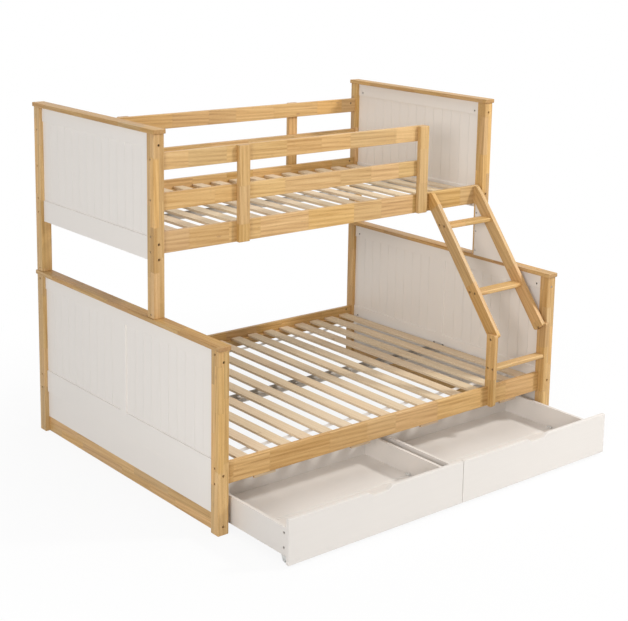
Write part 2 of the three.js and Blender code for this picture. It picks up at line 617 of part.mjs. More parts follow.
// A drawer side with its floor groove, front bolts and the forks and pins of its two wheels
function drawerSide(outer, sign) {
  const inner = outer + sign * SIDE_THICKNESS;
  const y = [FRONT_BACK_Y, FRONT_BACK_Y + BOX_DEPTH];
  let body = board([outer, inner], y, SIDE_SPAN, 'y', SMALL_EDGE);
  const groove = [inner - sign * (FLOOR_TONGUE + GAP), inner + sign];
  body = body.subtract(floorGroove(groove, [y[0] - 1, y[1] - SIDE_THICKNESS + FLOOR_TONGUE]));
  const boltY = y[0] + DRAWER_BOLT_FROM_FRONT;
  const heights = [SIDE_SPAN[0] + DRAWER_BOLTS[0], SIDE_SPAN[1] - DRAWER_BOLTS[1]];
  const depth = SIDE_THICKNESS + 1;
  body = cut(body, heights.map((z) => drill('x', sign, [outer, boltY, z], DRAWER_BOLT_RADIUS, depth)));
  for (const wheelY of WHEEL_YS) {
    const pin = new THREE.CylinderGeometry(AXLE_RADIUS, AXLE_RADIUS, SIDE_THICKNESS, 16);
    pin.rotateZ(Math.PI / 2);
    pin.translate((outer + inner) / 2 + sign * AXLE_INTO_CHEEK, wheelY, WHEEL_RADIUS);
    const outsideX = [outer, outer + sign * CHEEK_THICKNESS];
    const insideX = [inner - sign * CHEEK_INTO_SIDE, inner + sign * CHEEK_THICKNESS];
    body = join([body, solid(pin), cheek(outsideX, wheelY), cheek(insideX, wheelY)]);
  }
  return body;
}

// A solid tread wheel with a rounded rim and a bore for its pin
function wheel(inner, sign, y) {
  const bore = AXLE_RADIUS + AXLE_PLAY;
  const half = WHEEL_WIDTH / 2;
  const rim = WHEEL_RADIUS;
  const soft = TREAD_ROUNDING;
  const profile = [[bore, -half], [rim - soft, -half], [rim, -half + soft], [rim, half - soft],
    [rim - soft, half], [bore, half], [bore, -half]];
  const points = profile.map(([r, h]) => new THREE.Vector2(r, h));
  const geometry = new THREE.LatheGeometry(points, 24);
  geometry.rotateZ(Math.PI / 2);
  geometry.translate(inner - sign * (CHEEK_INTO_SIDE + WHEEL_TO_CHEEK + half), y, WHEEL_RADIUS);
  return solid(geometry);
}

drawerMiddles().forEach((middle, i) => {
  const name = `drawer_${['left', 'right'][i]}`;
  const sides = [middle - FRONT_WIDTH / 2 + SIDE_INSET, middle + FRONT_WIDTH / 2 - SIDE_INSET];
  const y = [FRONT_BACK_Y, FRONT_BACK_Y + BOX_DEPTH];
  const inside = [sides[0] + SIDE_THICKNESS, sides[1] - SIDE_THICKNESS];
  piece(`${name}_front`, drawerFront(middle), 'painted');
  piece(`${name}_left_side`, drawerSide(sides[0], 1), 'painted');
  piece(`${name}_right_side`, drawerSide(sides[1], -1), 'painted');
  const back = board(inside, [y[1] - SIDE_THICKNESS, y[1]], SIDE_SPAN, 'x', SMALL_EDGE);
  const backGroove = floorGroove([inside[0] - 1, inside[1] + 1], [y[1] - SIDE_THICKNESS - 1,
    y[1] - SIDE_THICKNESS + FLOOR_TONGUE]);
  piece(`${name}_back`, back.subtract(backGroove), 'painted');
  const tongue = FLOOR_TONGUE - GAP;
  const floorX = [inside[0] - tongue, inside[1] + tongue];
  const floorY = [y[0] - tongue, y[1] - SIDE_THICKNESS + tongue];
  const strip = y[0] + JOINT_FROM_FRONT;
  const floor = join([
    board(floorX, floorY, [FLOOR_TOP - FLOOR_THICKNESS, FLOOR_TOP], 'x', 0),
    board([inside[0] + GAP, inside[1] - GAP], [strip - JOINT_STRIP / 2, strip + JOINT_STRIP / 2],
      [FLOOR_TOP - FLOOR_THICKNESS - 2, FLOOR_TOP + 2], 'x', 1),
  ]);
  piece(`${name}_floor`, floor, 'painted');
  ['left', 'right'].forEach((side, k) => {
    const sign = k === 0 ? 1 : -1;
    const inner = sides[k] + sign * SIDE_THICKNESS;
    ['front', 'back'].forEach((place, j) => {
      piece(`${name}_wheel_${place}_${side}`, wheel(inner, sign, WHEEL_YS[j]), 'wheel');
    });
  });
});

// The origin is on the floor below the middle of the whole bed with its drawers as they stand
group.position.set(-LENGTH / 2, -Y_MIDDLE, 0);
group.updateMatrixWorld(true);

export default group;
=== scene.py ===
import math
import random
from collections import namedtuple

import bmesh
import bpy
from mathutils import Matrix, Vector


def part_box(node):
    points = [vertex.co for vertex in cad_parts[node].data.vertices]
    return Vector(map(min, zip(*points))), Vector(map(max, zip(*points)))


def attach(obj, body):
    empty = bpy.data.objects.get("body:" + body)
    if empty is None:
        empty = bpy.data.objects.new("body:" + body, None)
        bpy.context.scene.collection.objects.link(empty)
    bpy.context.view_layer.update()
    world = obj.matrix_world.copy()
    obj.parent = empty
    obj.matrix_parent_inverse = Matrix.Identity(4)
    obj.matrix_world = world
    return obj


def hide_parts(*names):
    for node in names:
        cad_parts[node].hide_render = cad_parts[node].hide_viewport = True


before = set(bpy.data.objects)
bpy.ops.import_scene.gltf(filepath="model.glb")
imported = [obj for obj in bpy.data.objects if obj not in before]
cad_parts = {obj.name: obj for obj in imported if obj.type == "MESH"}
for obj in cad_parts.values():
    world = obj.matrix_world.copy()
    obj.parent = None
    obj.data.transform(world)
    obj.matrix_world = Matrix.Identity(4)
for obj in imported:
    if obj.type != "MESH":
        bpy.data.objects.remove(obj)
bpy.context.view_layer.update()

SEED = 11
rng = random.Random(SEED)
X, Y, Z = Vector((1, 0, 0)), Vector((0, 1, 0)), Vector((0, 0, 1))
SIDES = ("left", "right")
FACES = ("front", "back")

# The bed's own millimetres (left post's outer face, lower front post's face, floor) to the row frame
BED_ORIGIN = (995.0, 558.0, 0.0)


def at(x, y, z):
    return Vector(((x - BED_ORIGIN[0]) / 1000, (y - BED_ORIGIN[1]) / 1000, z / 1000))


# Camera, fitted to points read off the photograph
IMAGE_WIDTH, IMAGE_HEIGHT = 628, 621
FOCAL_PX = 1326.98
AXIS_PX = (350.0, 185.0)
CAMERA_AT = (-3.8558, -4.65244, 2.3942)
CAMERA_RIGHT = Vector((0.760984, -0.648405, 0.021791))
CAMERA_UP = Vector((0.104589, 0.155759, 0.982243))


def placed(name, data):
    """A new object in the scene."""
    thing = bpy.data.objects.new(name, data)
    bpy.context.scene.collection.objects.link(thing)
    return thing


def make_camera():
    data = bpy.data.cameras.new("camera")
    camera = placed("camera", data)
    data.sensor_width = 36.0
    data.lens = FOCAL_PX / IMAGE_WIDTH * data.sensor_width
    data.shift_x = (IMAGE_WIDTH / 2 - AXIS_PX[0]) / IMAGE_WIDTH
    data.shift_y = (AXIS_PX[1] - IMAGE_HEIGHT / 2) / IMAGE_WIDTH
    back = CAMERA_RIGHT.cross(CAMERA_UP)
    rotation = Matrix((CAMERA_RIGHT, CAMERA_UP, back)).transposed().to_4x4()
    camera.matrix_world = Matrix.Translation(CAMERA_AT) @ rotation
    data.clip_start = 0.05
    data.clip_end = 200
    bpy.context.scene.camera = camera


# Light and floor
def area_light(name, place, aim, size, power, color):
    data = bpy.data.lights.new(name, "AREA")
    data.shape = "RECTANGLE"
    data.size, data.size_y = size
    data.energy = power
    data.color = color
    lamp = placed(name, data)
    lamp.location = place
    lamp.rotation_mode = "QUATERNION"
    lamp.rotation_quaternion = (Vector(aim) - Vector(place)).to_track_quat("-Z", "Y")


class Nodes:
    """A material's node tree, with short calls that take sockets or plain values."""

    def __init__(self, name, tree=None):
        if tree is None:
            self.material = bpy.data.materials.new(name)
            self.material.use_nodes = True
            tree = self.material.node_tree
        self.tree = tree
        tree.nodes.clear()

    def add(self, kind, inputs=None, out=0, **settings):
        node = self.tree.nodes.new("ShaderNode" + kind)
        for key, value in settings.items():
            setattr(node, key, value)
        for key, value in (inputs or {}).items():
            if isinstance(value, bpy.types.NodeSocket):
                self.tree.links.new(value, node.inputs[key])
            else:
                node.inputs[key].default_value = value
        return node.outputs[out]

    def math(self, operation, a, b=0.0, c=0.0):
        return self.add("Math", {0: a, 1: b, 2: c}, operation=operation)

    def mul(self, a, b):
        return self.math("MULTIPLY", a, b)

    def plus(self, a, b):
        return self.math("ADD", a, b)

    def madd(self, a, b, c):
        return self.math("MULTIPLY_ADD", a, b, c)

    def floor(self, a):
        return self.math("FLOOR", a)

    def split(self, vector):
        node = self.tree.nodes.new("ShaderNodeSeparateXYZ")
        self.tree.links.new(vector, node.inputs[0])
        return tuple(node.outputs)

    def join(self, x, y, z):
        return self.add("CombineXYZ", {0: x, 1: y, 2: z})

    def scale(self, vector, factors):
        return self.add("VectorMath", {0: vector, 1: factors}, operation="MULTIPLY")

    def offset(self, vector, other):
        return self.add("VectorMath", {0: vector, 1: other}, operation="ADD")

    def noise(self, vector, scale=1.0, detail=2.0, roughness=0.5, distortion=0.0):
        inputs = {"Vector": vector, "Scale": scale, "Detail": detail, "Roughness": roughness,
                  "Distortion": distortion}
        return self.add("TexNoise", inputs)

    def random(self, vector, out="Value"):
        return self.add("TexWhiteNoise", {"Vector": vector}, out=out, noise_dimensions="3D")

    def range(self, value, low, high, to_low=0.0, to_high=1.0):
        inputs = {0: value, 1: low, 2: high, 3: to_low, 4: to_high}
        return self.add("MapRange", inputs, interpolation_type="SMOOTHSTEP")

    def mix(self, factor, a, b, blend="MIX"):
        inputs = {0: factor, 6: a, 7: b}
        return self.add("Mix", inputs, out=2, data_type="RGBA", blend_type=blend)

    def ramp(self, factor, stops):
        node = self.tree.nodes.new("ShaderNodeValToRGB")
        self.tree.links.new(factor, node.inputs[0])
        elements = node.color_ramp.elements
        while len(elements) < len(stops):
            elements.new(0.5)
        for element, (place, color) in zip(elements, stops):
            element.position = place
            element.color = (*color, 1)
        return node.outputs[0]

    def hsv(self, color, hue, saturation, value):
        inputs = {"Color": color, "Hue": hue, "Saturation": saturation, "Value": value}
        return self.add("HueSaturation", inputs)

    def bump(self, height, strength, distance):
        return self.add("Bump", {"Height": height, "Strength": strength, "Distance": distance})

    def surface(self, **inputs):
        names = {key.replace("_", " "): value for key, value in inputs.items()}
        shader = self.add("BsdfPrincipled", names)
        output = self.tree.nodes.new("ShaderNodeOutputMaterial")
        self.tree.links.new(shader, output.inputs[0])
        return self.material


def view_ray(nodes):
    """1 where a ray comes straight from the camera, or by a mirror or through glass."""
    path = nodes.tree.nodes.new("ShaderNodeLightPath")
    seen = nodes.math("MAXIMUM", path.outputs["Is Camera Ray"], path.outputs["Is Glossy Ray"])
    return nodes.math("MAXIMUM", seen, path.outputs["Is Transmission Ray"])


AMBIENT = 0.36
FLOOR_RADIUS = 70.0
FLOOR_DROP = 0.0005
FLOOR_GREY = (0.86, 0.86, 0.86, 1)
# Share of plain white in the floor that the camera sees: close to the bed, and past its shadow
WHITE_NEAR, WHITE_FAR = 0.90, 1.0
NEAR_UP_TO, FAR_FROM = 1.0, 2.6
LOW_AIM, HIGH_AIM = (0.0, 0.1, 0.6), (0.0, 0.1, 0.8)
# Name, place, aim, size, watts and colour of each lamp
LAMPS = (
    ("key", (3.7, -3.6, 4.2), LOW_AIM, (0.7, 0.7), 215, (1.0, 0.995, 0.98)),
    ("left_front", (-9.9, -6.6, 3.8), HIGH_AIM, (4.0, 3.0), 550, (1, 1, 1)),
    ("top", (0.3, 0.0, 6.2), LOW_AIM, (4.0, 4.0), 110, (1, 1, 1)),
)


def make_world():
    """White for the camera, and a softer white as light."""
    world = bpy.data.worlds.new("world")
    bpy.context.scene.world = world
    world.use_nodes = True
    nodes = Nodes("world", world.node_tree)
    strength = nodes.mix(view_ray(nodes), (AMBIENT, AMBIENT, AMBIENT, 1), (1, 1, 1, 1))
    light = nodes.add("Background", {"Color": strength})
    output = world.node_tree.nodes.new("ShaderNodeOutputWorld")
    world.node_tree.links.new(light, output.inputs[0])


def make_floor():
    """White for the camera but for a trace of the bed's shadow, and pale grey as a reflector."""
    bm = bmesh.new()
    bmesh.ops.create_circle(bm, cap_ends=True, segments=96, radius=FLOOR_RADIUS)
    mesh = bpy.data.meshes.new("floor")
    bm.to_mesh(mesh)
    bm.free()
    floor = placed("floor", mesh)
    floor.location = (0, 0, -FLOOR_DROP)
    nodes = Nodes("floor")
    white = nodes.add("Emission", {"Color": (1, 1, 1, 1), "Strength": 1.0})
    lit = nodes.add("BsdfDiffuse", {"Color": FLOOR_GREY})
    place = nodes.add("TexCoord", out="Object")
    length = nodes.add("VectorMath", {0: place}, out="Value", operation="LENGTH")
    white_share = nodes.range(length, NEAR_UP_TO, FAR_FROM, WHITE_NEAR, WHITE_FAR)
    share = nodes.mul(view_ray(nodes), white_share)
    shader = nodes.add("MixShader", {0: share, 1: lit, 2: white})
    output = nodes.tree.nodes.new("ShaderNodeOutputMaterial")
    nodes.tree.links.new(shader, output.inputs[0])
    mesh.materials.append(nodes.material)


# Wood: how often each figure repeats in a metre along, across and through the board
BROAD = (1.8, 42.0, 42.0)
RINGS = (1.3, 28.0, 28.0)
STREAKS = (2.4, 165.0, 165.0)
FIBRES = (9.0, 420.0, 420.0)
PORES = (55.0, 1300.0, 1300.0)
KNOTS = (4.2, 11.0, 11.0)
# Each figure's share of the tone
BROAD_SHARE, RING_SHARE, STREAK_SHARE, FIBRE_SHARE = 0.30, 0.12, 0.43, 0.15
# The fingers of a joint: half their pitch, and their slope
FINGER_HALF, FINGER_SLOPE = 0.0025, 2.4
# Blocks differ in length, as their joints wander along the board
WANDER, WANDER_RATE = 0.05, 8.0
# Seams fade over shares of a stave's width, butt joints over metres
SEAM_FADE, BUTT_FADE = (0.004, 0.012), (0.0001, 0.0006)
END_SHARE, JOINT_SHARE = 0.55, 0.38
END_BROWN = (0.36, 0.19, 0.075, 1)
PORE_BROWN = (0.24, 0.12, 0.045, 1)
JOINT_BROWN = (0.22, 0.11, 0.04, 1)
KNOT_BROWN = (0.33, 0.17, 0.07, 1)


def wood_figure(n, grain, apart):
    """The tone of a block's figure, and its fibres alone; apart moves it from block to block."""
    def shifted(scale):
        return n.offset(n.scale(grain, scale), apart)

    broad = n.noise(shifted(BROAD), detail=4.0, distortion=0.5)
    streaks = n.noise(shifted(STREAKS), detail=3.0, roughness=0.65)
    fibres = n.noise(shifted(FIBRES), detail=3.0, roughness=0.6)
    rings = n.add("TexWave", {
        "Vector": shifted(RINGS), "Scale": 1.1, "Distortion": 7.0, "Detail": 2.0,
        "Detail Scale": 0.8}, out="Fac", wave_type="BANDS", bands_direction="DIAGONAL")
    coarse = n.plus(n.mul(broad, BROAD_SHARE), n.mul(rings, RING_SHARE))
    delicate = n.plus(n.mul(streaks, STREAK_SHARE), n.mul(fibres, FIBRE_SHARE))
    return n.plus(coarse, delicate), fibres


def glue_lines(n, side, place, block):
    """1 on the seams between staves and the joints between blocks, else 0."""
    seam = n.math("PINGPONG", side, 0.5)
    butt = n.math("PINGPONG", place, 0.5)
    joint = n.range(n.mul(butt, block), *BUTT_FADE, 1.0, 0.0)
    return n.math("MAXIMUM", n.range(seam, *SEAM_FADE, 1.0, 0.0), joint)


def end_grain(n):
    """1 on faces that look along the board, 0 on its long faces."""
    normal = n.add("TexCoord", out="Normal")
    lengthwise = n.add("Attribute", out="Vector", attribute_name="lengthwise")
    facing = n.add("VectorMath", {0: normal, 1: lengthwise}, out="Value", operation="DOT_PRODUCT")
    return n.range(n.math("ABSOLUTE", facing), 0.6, 0.95)


def wood(name, stops, block, tone, knots, roughness=0.38, gloss=0.10, pores=0.5, contrast=1.8):
    """Finger-jointed lumber: staves side by side, each of end-jointed blocks with grain of its own."""
    n = Nodes(name)
    grain = n.add("Attribute", out="Vector", attribute_name="grain")
    stave = n.add("Attribute", out="Vector", attribute_name="stave")
    along, across, _ = n.split(grain)
    side, layer, seed = n.split(stave)
    lane = n.madd(n.floor(layer), 17.0, n.floor(side))
    own = n.random(n.join(lane, seed, 3.0))
    finger = n.math("PINGPONG", across, FINGER_HALF)
    wander = n.math("SINE", n.madd(own, 40.0, n.mul(along, WANDER_RATE)))
    shifted = n.plus(n.madd(wander, WANDER, along), n.madd(finger, FINGER_SLOPE, n.mul(own, 3.1)))
    place = n.math("DIVIDE", shifted, block)
    cell = n.join(n.floor(place), lane, seed)
    pick = n.random(cell)
    picks = n.random(cell, out="Color")
    _, hue, saturation = n.split(picks)
    apart = n.scale(picks, (37.0, 53.0, 29.0))
    figure, fibres = wood_figure(n, grain, apart)
    pore = n.range(n.noise(n.offset(n.scale(grain, PORES), apart), detail=1.0), 0.62, 0.74)
    line = glue_lines(n, side, place, block)
    color = n.ramp(n.madd(figure, contrast, 0.5 - 0.5 * contrast), stops)
    color = n.hsv(color, n.madd(hue, 0.008, 0.497), n.madd(saturation, 0.12, 0.94),
                  n.madd(pick, tone, 1.0 - tone * 0.55))
    color = n.mix(n.mul(end_grain(n), END_SHARE), color, END_BROWN)
    color = n.mix(n.mul(pore, pores), color, PORE_BROWN)
    color = n.mix(n.mul(line, JOINT_SHARE), color, JOINT_BROWN)
    centres = {"Vector": n.offset(n.scale(grain, KNOTS), apart), "Scale": 1.0}
    spots = n.add("TexVoronoi", centres, out="Distance")
    knot = n.range(n.plus(spots, n.mul(fibres, 0.03)), 0.03, 0.10, 1.0, 0.0)
    color = n.mix(n.mul(knot, knots), color, KNOT_BROWN)
    dull = n.madd(fibres, 0.16, n.madd(pick, 0.06, roughness))
    height = n.plus(n.mul(fibres, 0.6), n.madd(pore, -0.8, n.mul(line, -1.0)))
    return n.surface(Base_Color=color, Roughness=dull, Coat_Weight=gloss, Coat_Roughness=0.3,
                     Specular_IOR_Level=0.4, Normal=n.bump(height, 0.28, 0.0004))


# Paint, metal and plastic
PAINT_ROUGHNESS = 0.46
MOTTLE = 0.12
WARP, WEFT = 4200.0, 2600.0
STRAP_GREY = (0.80, 0.76, 0.72, 1)


def paint(name, color, streak):
    """Satin paint rolled on wood: faint fibres along the boards and a fine orange peel."""
    n = Nodes(name)
    place = n.add("TexCoord", out="Object")
    fibre = n.noise(n.scale(place, streak), detail=3.0, roughness=0.55)
    cloud = n.noise(place, scale=2.3, detail=3.0)
    peel = n.noise(place, scale=650.0, detail=1.0)
    tint = n.plus(n.madd(fibre, 0.030, 0.985), n.mul(n.math("SUBTRACT", cloud, 0.5), 0.035))
    shade = n.hsv((*color, 1), 0.5, n.madd(cloud, 0.10, 0.95), tint)
    dull = n.madd(cloud, 0.10, n.madd(fibre, 0.06, PAINT_ROUGHNESS - 0.08))
    height = n.plus(n.mul(fibre, 0.6), n.mul(peel, 0.25))
    return n.surface(Base_Color=shade, Roughness=dull, Specular_IOR_Level=0.42,
                     Normal=n.bump(height, 0.22, 0.0003))


def metal(name, color, metallic, roughness):
    """Rolled sheet or turned hardware with a mottled coat."""
    n = Nodes(name)
    place = n.add("TexCoord", out="Object")
    spangle = n.add("TexVoronoi", {"Vector": place, "Scale": 90.0}, out="Color")
    grey = n.split(spangle)[0]
    cloud = n.noise(place, scale=24.0, detail=3.0)
    value = n.plus(n.madd(grey, MOTTLE, 1.0 - MOTTLE), n.mul(n.math("SUBTRACT", cloud, 0.5), 0.22))
    shade = n.hsv((*color, 1), 0.5, 1.0, value)
    dull = n.madd(cloud, 0.22, n.madd(grey, 0.06, roughness - 0.14))
    return n.surface(Base_Color=shade, Roughness=dull, Metallic=metallic,
                     Normal=n.bump(n.noise(place, scale=300.0, detail=2.0), 0.15, 0.0002))


def webbing(name):
    """Woven tape: crossed threads with a soft matt face."""
    n = Nodes(name)
    x, y, z = n.split(n.add("TexCoord", out="Object"))
    warp = n.math("SINE", n.mul(y, WARP))
    weft = n.math("SINE", n.mul(x, WEFT))
    cross = n.mul(warp, weft)
    cloud = n.noise(n.join(x, y, z), scale=60.0, detail=3.0)
    value = n.plus(n.madd(cross, 0.06, 0.94), n.mul(cloud, 0.12))
    shade = n.hsv(STRAP_GREY, 0.5, 1.0, value)
    return n.surface(Base_Color=shade, Roughness=n.madd(cloud, 0.1, 0.82), Sheen_Weight=0.2,
                     Normal=n.bump(cross, 0.5, 0.0004))


def plastic(name, color, roughness):
    """Moulded plastic with faint flow marks and scuffs."""
    n = Nodes(name)
    place = n.add("TexCoord", out="Object")
    cloud = n.noise(place, scale=40.0, detail=4.0)
    scuff = n.noise(n.scale(place, (300.0, 900.0, 900.0)), detail=2.0)
    shade = n.hsv((*color, 1), 0.5, 1.0, n.madd(cloud, 0.2, 0.9))
    return n.surface(Base_Color=shade, Roughness=n.madd(scuff, 0.15, roughness),
                     Normal=n.bump(scuff, 0.1, 0.0002))


def toned(stops, red, green, blue):
    return [(place, (r * red, g * green, b * blue)) for place, (r, g, b) in stops]


HONEY = [(0.22, (0.700, 0.462, 0.208)), (0.46, (0.625, 0.386, 0.156)), (0.62, (0.545, 0.320, 0.116)),
         (0.80, (0.420, 0.226, 0.074))]
BROWNER = toned(HONEY, 0.88, 0.85, 0.82)
LADDER = toned(HONEY, 0.93, 0.90, 0.86)
PALE = [(0.22, (0.800, 0.662, 0.490)), (0.50, (0.755, 0.602, 0.420)), (0.72, (0.680, 0.510, 0.325)),
        (0.90, (0.560, 0.385, 0.215))]
WHITE = (0.845, 0.800, 0.752)
DRAWER_WHITE = (0.752, 0.711, 0.669)
MATERIALS = {
    "honey": wood("honey_wood", HONEY, 0.23, 0.17, 0.6),
    "post": wood("post_wood", HONEY, 0.26, 0.30, 0.4),
    "ladder": wood("ladder_wood", LADDER, 0.34, 0.20, 0.4),
    "cap": wood("cap_wood", BROWNER, 0.21, 0.24, 0.3, 0.40, 0.08),
    "slat": wood("slat_wood", PALE, 2.9, 0.08, 0.5, 0.60, 0.0, 0.25, 1.3),
    "panel": paint("panel_paint", WHITE, (40.0, 260.0, 3.0)),
    "drawer": paint("drawer_paint", DRAWER_WHITE, (3.0, 60.0, 60.0)),
    "beam": metal("beam_steel", (0.70, 0.67, 0.63), 0.15, 0.48),
    # Dark bolt metal, made darker still as painted shade of the holes the heads sit in
    "bolt": metal("dark_bolt_and_hole_shade", (0.075, 0.058, 0.042), 0.45, 0.50),
    "brass": metal("bolt_gold", (0.30, 0.18, 0.08), 0.6, 0.46),
    "screw": metal("screw_zinc", (0.50, 0.48, 0.45), 0.85, 0.40),
    "strap": webbing("strap_webbing"),
    "wheel": plastic("wheel_grey", (0.30, 0.32, 0.31), 0.5),
    "bracket": plastic("bracket_pale", (0.66, 0.66, 0.64), 0.42),
}


# Mesh tools
ROUND_STEP = math.radians(9)
BEVEL_FROM = math.radians(28)
SMOOTH_BELOW = math.radians(38)
HOLE_SIDES = 20
CUT_LEAD = 0.002
# How much the edges of boards are softened
WOOD_EDGE, PAINTED_EDGE, FINE_EDGE = 0.003, 0.0018, 0.001


def rectangle(u0, v0, u1, v1):
    return [(u0, v0), (u1, v0), (u1, v1), (u0, v1)]


def rounded(points, radii):
    """A polygon with each corner rounded by its own radius."""
    out = []
    for i, (corner, radius) in enumerate(zip(points, radii)):
        p = Vector(corner)
        a = (Vector(points[i - 1]) - p).normalized()
        b = (Vector(points[(i + 1) % len(points)]) - p).normalized()
        half = a.angle(b) / 2
        middle = p + (a + b).normalized() * radius / math.sin(half)
        start = p + a * radius / math.tan(half) - middle
        end = p + b * radius / math.tan(half) - middle
        turn = math.atan2(start.x * end.y - start.y * end.x, start.dot(end))
        steps = max(2, round(abs(turn) / ROUND_STEP))
        for k in range(steps + 1):
            out.append(middle + Matrix.Rotation(turn * k / steps, 2) @ start)
    return out


def bridge(bm, ring, other):
    """Faces from a closed ring of points to the next one."""
    for i, point in enumerate(ring):
        j = (i + 1) % len(ring)
        bm.faces.new((point, ring[j], other[j], other[i]))


def prism(outline, axis, start, end, bevel=0.0015, segments=3):
    """A closed solid: an outline in the two other axes (in X, Y, Z order) run along an axis."""
    first, second = [k for k in range(3) if k != axis]
    bm = bmesh.new()
    rings = []
    for place in (start, end):
        ring = []
        for u, v in outline:
            co = [0.0, 0.0, 0.0]
            co[first], co[second], co[axis] = u, v, place
            ring.append(bm.verts.new(co))
        rings.append(ring)
        bm.faces.new(ring)
    bridge(bm, *rings)
    bmesh.ops.recalc_face_normals(bm, faces=bm.faces)
    if bevel:
        edges = [e for e in bm.edges if e.calc_face_angle(0) > BEVEL_FROM]
        bmesh.ops.bevel(bm, geom=edges, offset=bevel, offset_type="OFFSET", segments=segments, profile=0.5,
                        affect="EDGES", clamp_overlap=True)
    return bm


def slab(low, high, bevel=0.0015, segments=3):
    """A board between two corners, its edges softened."""
    low, high = Vector(low), Vector(high)
    axis = max(range(3), key=lambda k: high[k] - low[k])
    u, v = [k for k in range(3) if k != axis]
    return prism(rectangle(low[u], low[v], high[u], high[v]), axis, low[axis], high[axis], bevel, segments)


def scratch(bm):
    mesh = bpy.data.meshes.new("scratch")
    bm.to_mesh(mesh)
    bm.free()
    return mesh


def drilled(bm, holes):
    """The solid with round holes in it, each given as point on the face, direction in, radius, depth."""
    if not holes:
        return bm
    cutter = bmesh.new()
    for point, inward, radius, depth in holes:
        turn = Vector(inward).to_track_quat("Z", "Y").to_matrix().to_4x4()
        middle = Vector(point) + Vector(inward) * (depth / 2 - CUT_LEAD / 2)
        bmesh.ops.create_cone(cutter, cap_ends=True, segments=HOLE_SIDES, radius1=radius, radius2=radius,
                              depth=depth + CUT_LEAD, matrix=Matrix.Translation(middle) @ turn)
    body, tool = placed("body", scratch(bm)), placed("tool", scratch(cutter))
    cut = body.modifiers.new("cut", "BOOLEAN")
    cut.operation = "DIFFERENCE"
    cut.solver = "EXACT"
    cut.object = tool
    bpy.context.view_layer.update()
    result = bpy.data.meshes.new_from_object(body.evaluated_get(bpy.context.evaluated_depsgraph_get()))
    bpy.data.objects.remove(body)
    bpy.data.objects.remove(tool)
    out = bmesh.new()
    out.from_mesh(result)
    bpy.data.meshes.remove(result)
    return out


GRAIN_START = 20
SEEDS = (1, 900)
SEED_ACROSS, SEED_THROUGH = 0.37, 0.11
STAVE_MARGIN = 0.02


def lay_grain(bm, along, wide, staves=(1, 1)):
    """Grain coordinates for wood: metres along and across the board, and which stave a point is in."""
    thick = along.cross(wide)
    axes = (along, wide, thick)
    reach = [[min(v.co.dot(a) for v in bm.verts), max(v.co.dot(a) for v in bm.verts)] for a in axes]
    start = rng.uniform(0, GRAIN_START)
    seed = rng.randrange(*SEEDS)
    grain = bm.verts.layers.float_vector.new("grain")
    stave = bm.verts.layers.float_vector.new("stave")
    lengthwise = bm.verts.layers.float_vector.new("lengthwise")
    for v in bm.verts:
        v[lengthwise] = along
        place = [v.co.dot(a) - low for a, (low, high) in zip(axes, reach)]
        v[grain] = (place[0] + start, place[1] + seed * SEED_ACROSS, place[2] + seed * SEED_THROUGH)
        shares = [p / (high - low) for p, (low, high) in zip(place[1:], reach[1:])]
        inside = [STAVE_MARGIN + share * (count - 2 * STAVE_MARGIN) for share, count in zip(shares, staves)]
        v[stave] = (inside[0], inside[1], seed + 0.5)
    return bm


def merge(parts):
    """The parts as one mesh, with room for the wood's coordinates."""
    whole = bmesh.new()
    for layer in ("grain", "stave", "lengthwise"):
        whole.verts.layers.float_vector.new(layer)
    for part in parts:
        mesh = scratch(part)
        whole.from_mesh(mesh)
        bpy.data.meshes.remove(mesh)
    return whole


def make(name, parts, material, body, nodes=()):
    """A finished piece: its meshes joined, given a material, and carried by a body."""
    bm = merge(parts)
    mesh = bpy.data.meshes.new(name)
    bm.to_mesh(mesh)
    bm.free()
    mesh.polygons.foreach_set("use_smooth", [True] * len(mesh.polygons))
    mesh.set_sharp_from_angle(angle=SMOOTH_BELOW)
    mesh.materials.append(MATERIALS[material])
    piece = placed(name, mesh)
    soft = piece.modifiers.new("normals", "WEIGHTED_NORMAL")
    soft.keep_sharp = True
    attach(piece, body)
    if nodes:
        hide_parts(*nodes)


def timber(name, parts, material):
    make(f"{name}_wood", parts, material, "bed", [name])


def drawer_board(name, bm, body):
    make(f"{name}_paint", [bm], "drawer", body, [name])


# Heads: how far the recess reaches and how wide its slots are, in shares of the radius
RECESS = {"hex": 0.50, "cross": 0.62, "slot": 0.72}
SLOT_HALF = 0.15
RECESS_TAPER = 0.92
HEAD_SIDES = 24
# The outside of a head, in shares of its radius and height
HEAD_PROFILE = ((1.0, 0.0), (1.0, 0.55), (0.93, 0.86), (0.80, 1.0))


